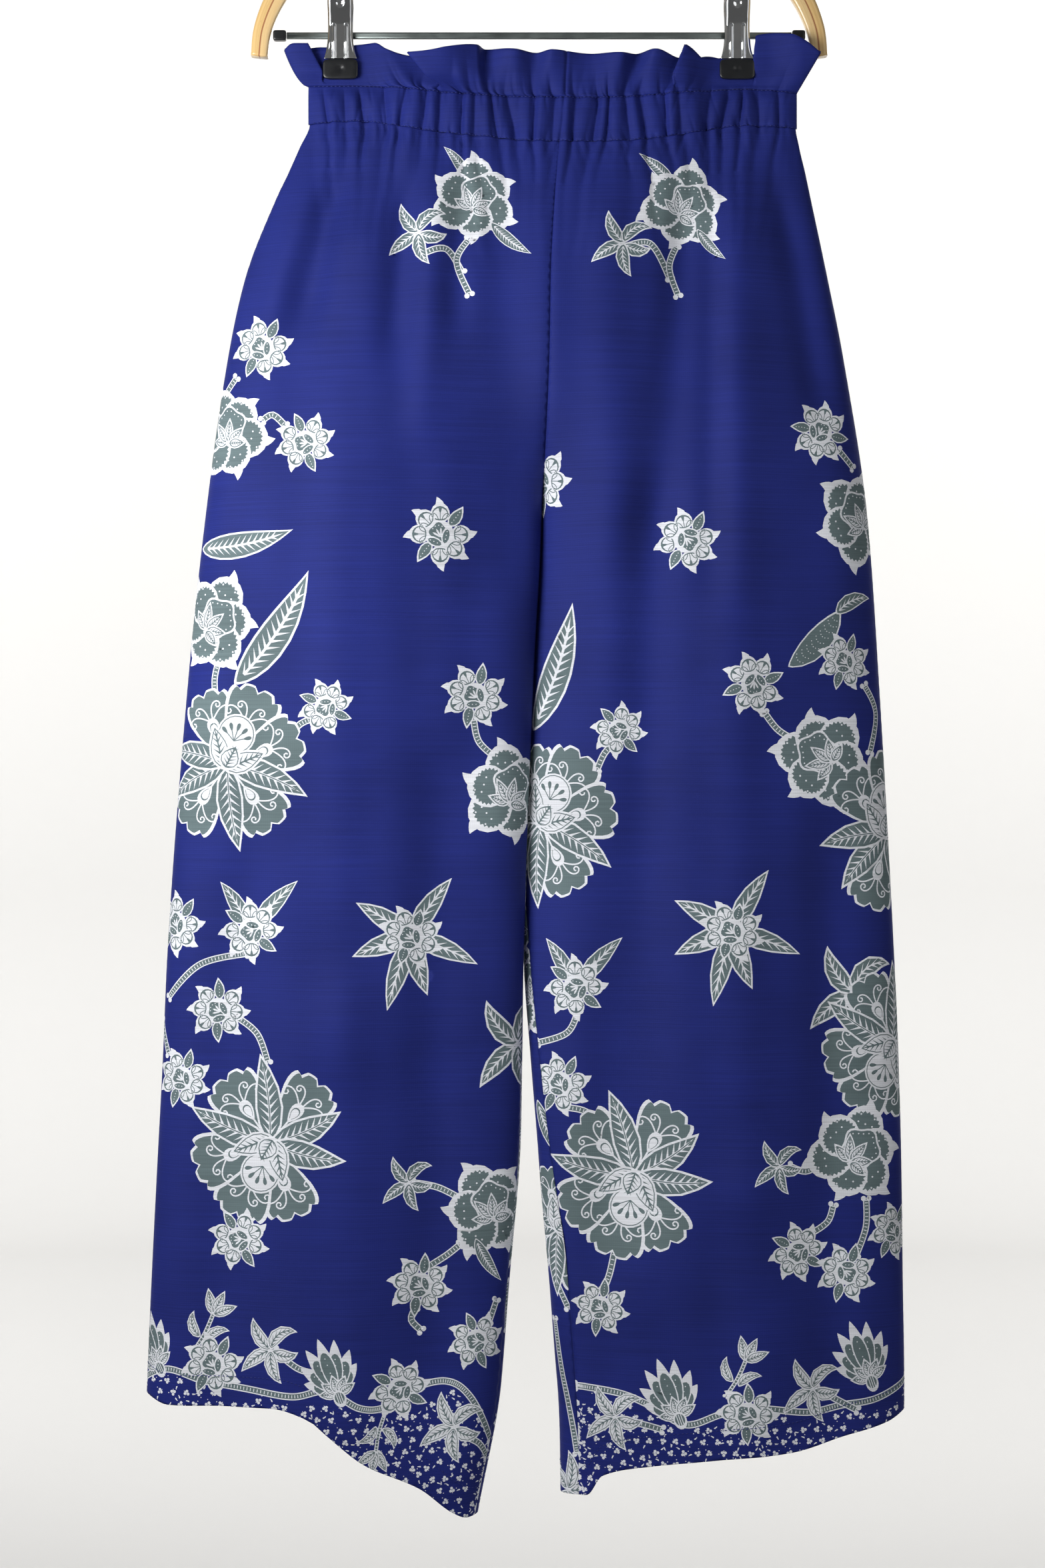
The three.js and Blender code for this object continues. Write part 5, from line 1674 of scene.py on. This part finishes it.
class LOUNGE_OT_legs(bpy.types.Operator):
    """Make the four leg panels, front and back, left and right"""

    bl_idname = "lounge.legs"
    bl_label = "Legs"

    def execute(self, context):
        settings = context.scene.lounge_cloth
        studio = context.scene.lounge_studio
        distance, aim = studio.distance / MM, (studio.aim_x / MM, studio.aim_z / MM)
        materials = cloth_materials(settings)
        for side_name, side in (("left", -1), ("right", 1)):
            for face_name, face in (("front", 1), ("back", -1)):
                panel = FlatPanel(side, face)
                layout_side = "left" if side * face < 0 else "right"
                shapes = panel_print(panel, layout_side, distance, aim)
                flat, faces, ink = printed_mesh(panel, shapes, settings.grid)
                points = cloth_points(side, face, *panel.worn(flat))
                points = two_layers(points, faces, settings.thickness)
                uv = np.stack((flat.real, flat.imag), axis=-1)
                name = f"{face_name}_{side_name}_panel"
                piece = finished(name, points, faces, materials, slots=ink, uv=uv)
                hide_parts(f"{face_name}_{side_name}_leg")
        return {"FINISHED"}


class LOUNGE_OT_waist(bpy.types.Operator):
    """Make the elastic casing and the frill above it, front and back"""

    bl_idname = "lounge.waist"
    bl_label = "Waist"

    def execute(self, context):
        settings = context.scene.lounge_cloth
        navy = bpy.data.materials["navy_dyed_rayon"]
        for face_name, face in (("front", 1), ("back", -1)):
            for part, surface, node, rows, columns, flat in (
                ("casing", casing_points, "tunnel", 17, 400, CASING_FLAT),
                ("frill", frill_points, "frill", 18, 480, FRILL_FLAT),
            ):
                # Columns crowd at the side seams, where the ring turns fastest.
                turn = np.linspace(0, np.pi, columns)
                even = np.linspace(0, 1, columns)
                share = 0.15 * (1 - np.cos(turn)) / 2 + 0.85 * even
                share, rise = np.meshgrid(share, np.linspace(0, 1, rows))
                points = surface(face, share.ravel(), rise.ravel())
                faces = grid_faces(rows, columns)
                if (face > 0) == (part == "frill"):
                    faces = faces[:, ::-1]
                uv = np.stack((points[:, 0] * 1.3, -points[:, 2]), axis=-1)
                piece = finished(f"{face_name}_{part}", points, faces, [navy], uv=uv)
                thicken(piece, DOUBLED_CLOTH)
                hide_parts(f"{face_name}_waist_{node}")
        return {"FINISHED"}


def stitch_row(path, out, length):
    """Machine stitches along a path, each a small four-sided bead of thread that sinks in at its
    ends: radius 0.3 (1.05 - s^4) along its length. out points away from the cloth."""
    gap = 1.3 * length
    run = np.concatenate(([0], np.cumsum(np.linalg.norm(np.diff(path, axis=0), axis=1))))
    at = np.arange(gap, run[-1] - gap / 2, gap)
    place = np.stack([np.interp(at, run, column) for column in path.T], axis=-1)
    ahead = np.stack([np.interp(at + 0.3, run, column) for column in path.T], axis=-1)
    away = np.stack([np.interp(at, run, column) for column in out.T], axis=-1)
    heading = ahead - place
    heading /= np.linalg.norm(heading, axis=1, keepdims=True)
    side = np.cross(heading, away)
    s = np.linspace(-1, 1, 4)
    radius = 0.3 * (1.05 - s**4)
    angle = np.arange(4) * np.pi / 2
    ring = np.stack((np.cos(angle), np.sin(angle)), axis=-1)
    bead = (
        place[:, None, None]
        + s[None, :, None, None] * heading[:, None, None] * length / 2
        + (radius[:, None] * ring[:, 0])[None, ..., None] * side[:, None, None]
        + (radius[:, None] * ring[:, 1] - 0.3 * s[:, None] ** 4)[None, ..., None] * away[:, None, None]
    )
    return joined([loft(each) for each in bead])


class LOUNGE_OT_stitches(bpy.types.Operator):
    """Sew the two rows round the waist and the row round each hem"""

    bl_idname = "lounge.stitches"
    bl_label = "Stitches"

    def execute(self, context):
        settings = context.scene.lounge_cloth
        thread = thread_material(settings)
        share = np.linspace(0.004, 0.996, 1500)
        for face_name, face in (("front", 1), ("back", -1)):
            rows = []
            for down in (0.01, 0.99):
                path = casing_points(face, share, np.full(share.shape, down))
                rows.append(stitch_row(*self.laid(path, face, 0.75), settings.stitch))
            self.sewn(f"{face_name}_waist_stitches", rows, thread)
        t = np.linspace(0.01, 0.99, 1200)
        for side_name, side in (("left", -1), ("right", 1)):
            rows = []
            for face in (1, -1):
                path = cloth_points(side, face, t, bottom_edge(side, face, t) - HEM_TURN)
                rows.append(stitch_row(*self.laid(path, face, 0.5), settings.stitch))
            self.sewn(f"{side_name}_hem_stitches", rows, thread)
        return {"FINISHED"}

    def laid(self, path, face, lift):
        """A path lifted off the cloth by the thread's share, with the way out at each point."""
        heading = np.gradient(path, axis=0)
        out = np.cross(heading, (0.0, 0.0, 1.0))
        out /= np.linalg.norm(out, axis=1, keepdims=True)
        out *= np.where(out[:, 1:2] * face > 0, -1, 1)
        return path + lift * out, out

    def sewn(self, name, rows, thread):
        piece = finished(name, *joined(rows), [thread])


class LOUNGE_OT_hanger(bpy.types.Operator):
    """Make the wooden arms, the hook, the bar and its caps"""

    bl_idname = "lounge.hanger"
    bl_label = "Hanger"

    def execute(self, context):
        settings = context.scene.lounge_hanger
        wood = wood_material(settings)
        chrome = metal_material("polished_chrome_plate", settings.chrome, 0.09, 0.05)
        zinc = metal_material("dull_zinc_plate", settings.steel, 0.42, 0.35)
        rubber = rubber_material(settings)

        # The right arm's centre line and heights, mirrored for the left one.
        rows = np.stack([ARM_PATH[key] for key in ("x", "rise", "height")], axis=-1)
        half = through(rows, 70)
        whole = np.concatenate((half[:0:-1] * (-1, 1, 1), half))
        path = np.stack((whole[:, 0], 0 * whole[:, 0], BAR_Z + whole[:, 1]), axis=-1)
        depth = node_half("hanger_arms")[1]
        outline = squircle(1, 1, 5, 40)
        section = outline[None] * np.stack((0 * whole[:, 2] + depth, whole[:, 2] / 2), axis=-1)[:, None]
        rings = carried(path, section, BACKWARDS)
        points, faces = loft(rings)
        run = np.concatenate(([0], np.cumsum(np.linalg.norm(np.diff(path, axis=0), axis=1))))
        lateral = -section[..., 1]
        uv = np.stack((np.broadcast_to(run[:, None], lateral.shape), lateral), axis=-1).reshape(-1, 2)
        uv = np.concatenate((uv, [[run[0], 0], [run[-1], 0]]))
        arms = finished("arms", points, faces, [wood], uv=uv)
        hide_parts("hanger_arms")

        # The hook: a stem that rises from the neck, swings aside and turns over the rail.
        wire, bend = 1.9, 21
        angle = np.radians(np.linspace(-62, 196, 11))
        crook = np.stack((bend * np.cos(angle), wire - bend + bend * np.sin(angle)), axis=-1)
        line = through(np.concatenate(([[0, -58.1], [0, -48]], crook)), 160)
        path = np.stack((line[:, 0], 0 * line[:, 0], line[:, 1]), axis=-1)
        hook = finished("hook", *loft(carried(path, circle(wire, 24), BACKWARDS)), [chrome])
        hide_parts("hanger_hook")

        low, high = node_box("clip_bar")
        path = np.linspace((low[0], 0, BAR_Z), (high[0], 0, BAR_Z), 5)
        bar_half = node_half("clip_bar")
        section = squircle(bar_half[1], bar_half[2], 8, 32)
        bar = finished("bar", *loft(carried(path, section, BACKWARDS)), [zinc])
        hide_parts("clip_bar")
        for side_name in ("left", "right"):
            node = f"bar_cap_{side_name}"
            cap = finished(f"cap_{side_name}", *pillow(node_middle(node), node_half(node)), [rubber])
            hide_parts(node)
        return {"FINISHED"}


def pillow(middle, half, outline_power=6.0, edge_power=7.0, relief=None):
    """A moulded block: a superellipse outline in X and Z, drawn in to a point at the front and back
    along another superellipse, r^p + (y/d)^p = 1. relief(x, z) presses its front and back in."""
    share = np.concatenate((np.linspace(0.02, 0.8, 14), 1 - 0.2 * np.linspace(1, 0, 12)[1:] ** 2))
    share = np.clip(share, 0, 1)
    depth = (1 - share**edge_power) ** (1 / edge_power)
    ring = squircle(half[0], half[2], outline_power, 64)
    rows = np.concatenate((share, share[-2::-1]))
    sides = np.concatenate((-depth, depth[-2::-1]))
    x, z = rows[:, None] * ring[:, 0], rows[:, None] * ring[:, 1]
    y = half[1] * np.broadcast_to(sides[:, None], x.shape)
    if relief:
        y = y - np.sign(y) * relief(x, z)
    return loft(np.stack((x, y, z), axis=-1) + middle)


class LOUNGE_OT_clips(bpy.types.Operator):
    """Make the two sprung clips: plates, rubber boots and spring coils"""

    bl_idname = "lounge.clips"
    bl_label = "Clips"

    def execute(self, context):
        chrome = bpy.data.materials["polished_chrome_plate"]
        rubber = bpy.data.materials["moulded_black_pvc"]

        def dimple(x, z):
            return 0.7 * np.exp(-(x**2 + z**2) / 2.2**2)

        for side_name, clip_x in zip(("left", "right"), CLIP_X):
            for face_name, face in (("front", 1), ("back", -1)):
                node = f"{side_name}_clip_{face_name}_boot"
                block = pillow(node_middle(node), node_half(node), relief=dimple)
                boot = finished(node.replace("clip_", ""), *block, [rubber])
                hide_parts(node)
                plate = self.plate(side_name, face_name, face, clip_x, chrome)
                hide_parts(f"{side_name}_clip_{face_name}_plate")
            # A coil of wire round the bar: a helix of seven turns.
            turns, radius, wire, length = 7, 3.85, 0.72, 13
            angle = np.linspace(0, 2 * np.pi * turns, turns * 24)
            x = clip_x + length * (np.linspace(0, 1, len(angle)) - 0.5) * 0.88
            path = np.stack((x, radius * np.cos(angle), BAR_Z + radius * np.sin(angle)), axis=-1)
            outward = np.stack((0 * angle, np.cos(angle), np.sin(angle)), axis=-1)
            coil = loft(carried(path, circle(wire, 10), outward))
            spring = finished(f"{side_name}_spring", *coil, [chrome])
            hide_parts(f"{side_name}_clip_spring")
        return {"FINISHED"}

    def plate(self, side_name, face_name, face, clip_x, chrome):
        """One sprung plate: a sheet whose width and distance from the bar follow the table, with two
        long pressed ribs, a round dimple near its top, and edges curled in towards the bar."""
        rise, u = np.meshgrid(np.linspace(-17.2, 33, 70), np.linspace(-1, 1, 49), indexing="ij")
        half = along(PLATE_ROWS, "rise", "half", rise)
        away = along(PLATE_ROWS, "rise", "away", rise)
        x = half * u
        rib = np.exp(-(((np.abs(x) - 4.3) / 0.95) ** 4)) * smooth(-19, -17, rise) * (1 - smooth(5, 8, rise))
        dent = np.exp(-(((x**2 + (rise - 21) ** 2) / 2.6**2) ** 2))
        curled = smooth(half - 1.5, half, np.abs(x)) * 1.5 * smooth(-17, -10, rise)
        y = -face * (away + 0.9 * rib - 0.8 * dent - curled)
        points = np.stack((clip_x + x, y, BAR_Z + rise), axis=-1).reshape(-1, 3)
        faces = grid_faces(*rise.shape)
        if face > 0:
            faces = faces[:, ::-1]
        plate = finished(f"{side_name}_{face_name}_plate", points, faces, [chrome])
        thicken(plate, PLATE_SHEET)
        return plate


class LOUNGE_PT_panel(bpy.types.Panel):
    """The sidebar's list of pieces and settings"""

    bl_label = "Lounge Pants"
    bl_space_type = "VIEW_3D"
    bl_region_type = "UI"
    bl_category = "Lounge Pants"

    def draw(self, context):
        for operator in OPERATORS:
            self.layout.operator(operator.bl_idname)
        for group in ("lounge_cloth", "lounge_hanger", "lounge_studio"):
            settings = getattr(context.scene, group)
            for name in settings.__annotations__:
                self.layout.prop(settings, name)


OPERATORS = (
    LOUNGE_OT_studio,
    LOUNGE_OT_legs,
    LOUNGE_OT_waist,
    LOUNGE_OT_stitches,
    LOUNGE_OT_hanger,
    LOUNGE_OT_clips,
)
GROUPS = {
    "lounge_cloth": ClothSettings,
    "lounge_hanger": HangerSettings,
    "lounge_studio": StudioSettings,
}


def register():
    for each in (*GROUPS.values(), *OPERATORS, LOUNGE_PT_panel):
        bpy.utils.register_class(each)
    for name, group in GROUPS.items():
        setattr(bpy.types.Scene, name, bpy.props.PointerProperty(type=group))


def unregister():
    for name in GROUPS:
        delattr(bpy.types.Scene, name)
    for each in reversed((*GROUPS.values(), *OPERATORS, LOUNGE_PT_panel)):
        bpy.utils.unregister_class(each)


def main():
    """Registers the classes and makes every piece, in metres."""
    register()
    bpy.ops.lounge.studio()
    bpy.ops.lounge.legs()
    bpy.ops.lounge.waist()
    bpy.ops.lounge.stitches()
    bpy.ops.lounge.hanger()
    bpy.ops.lounge.clips()
    bpy.context.view_layer.update()


if __name__ == "__main__":
    main()
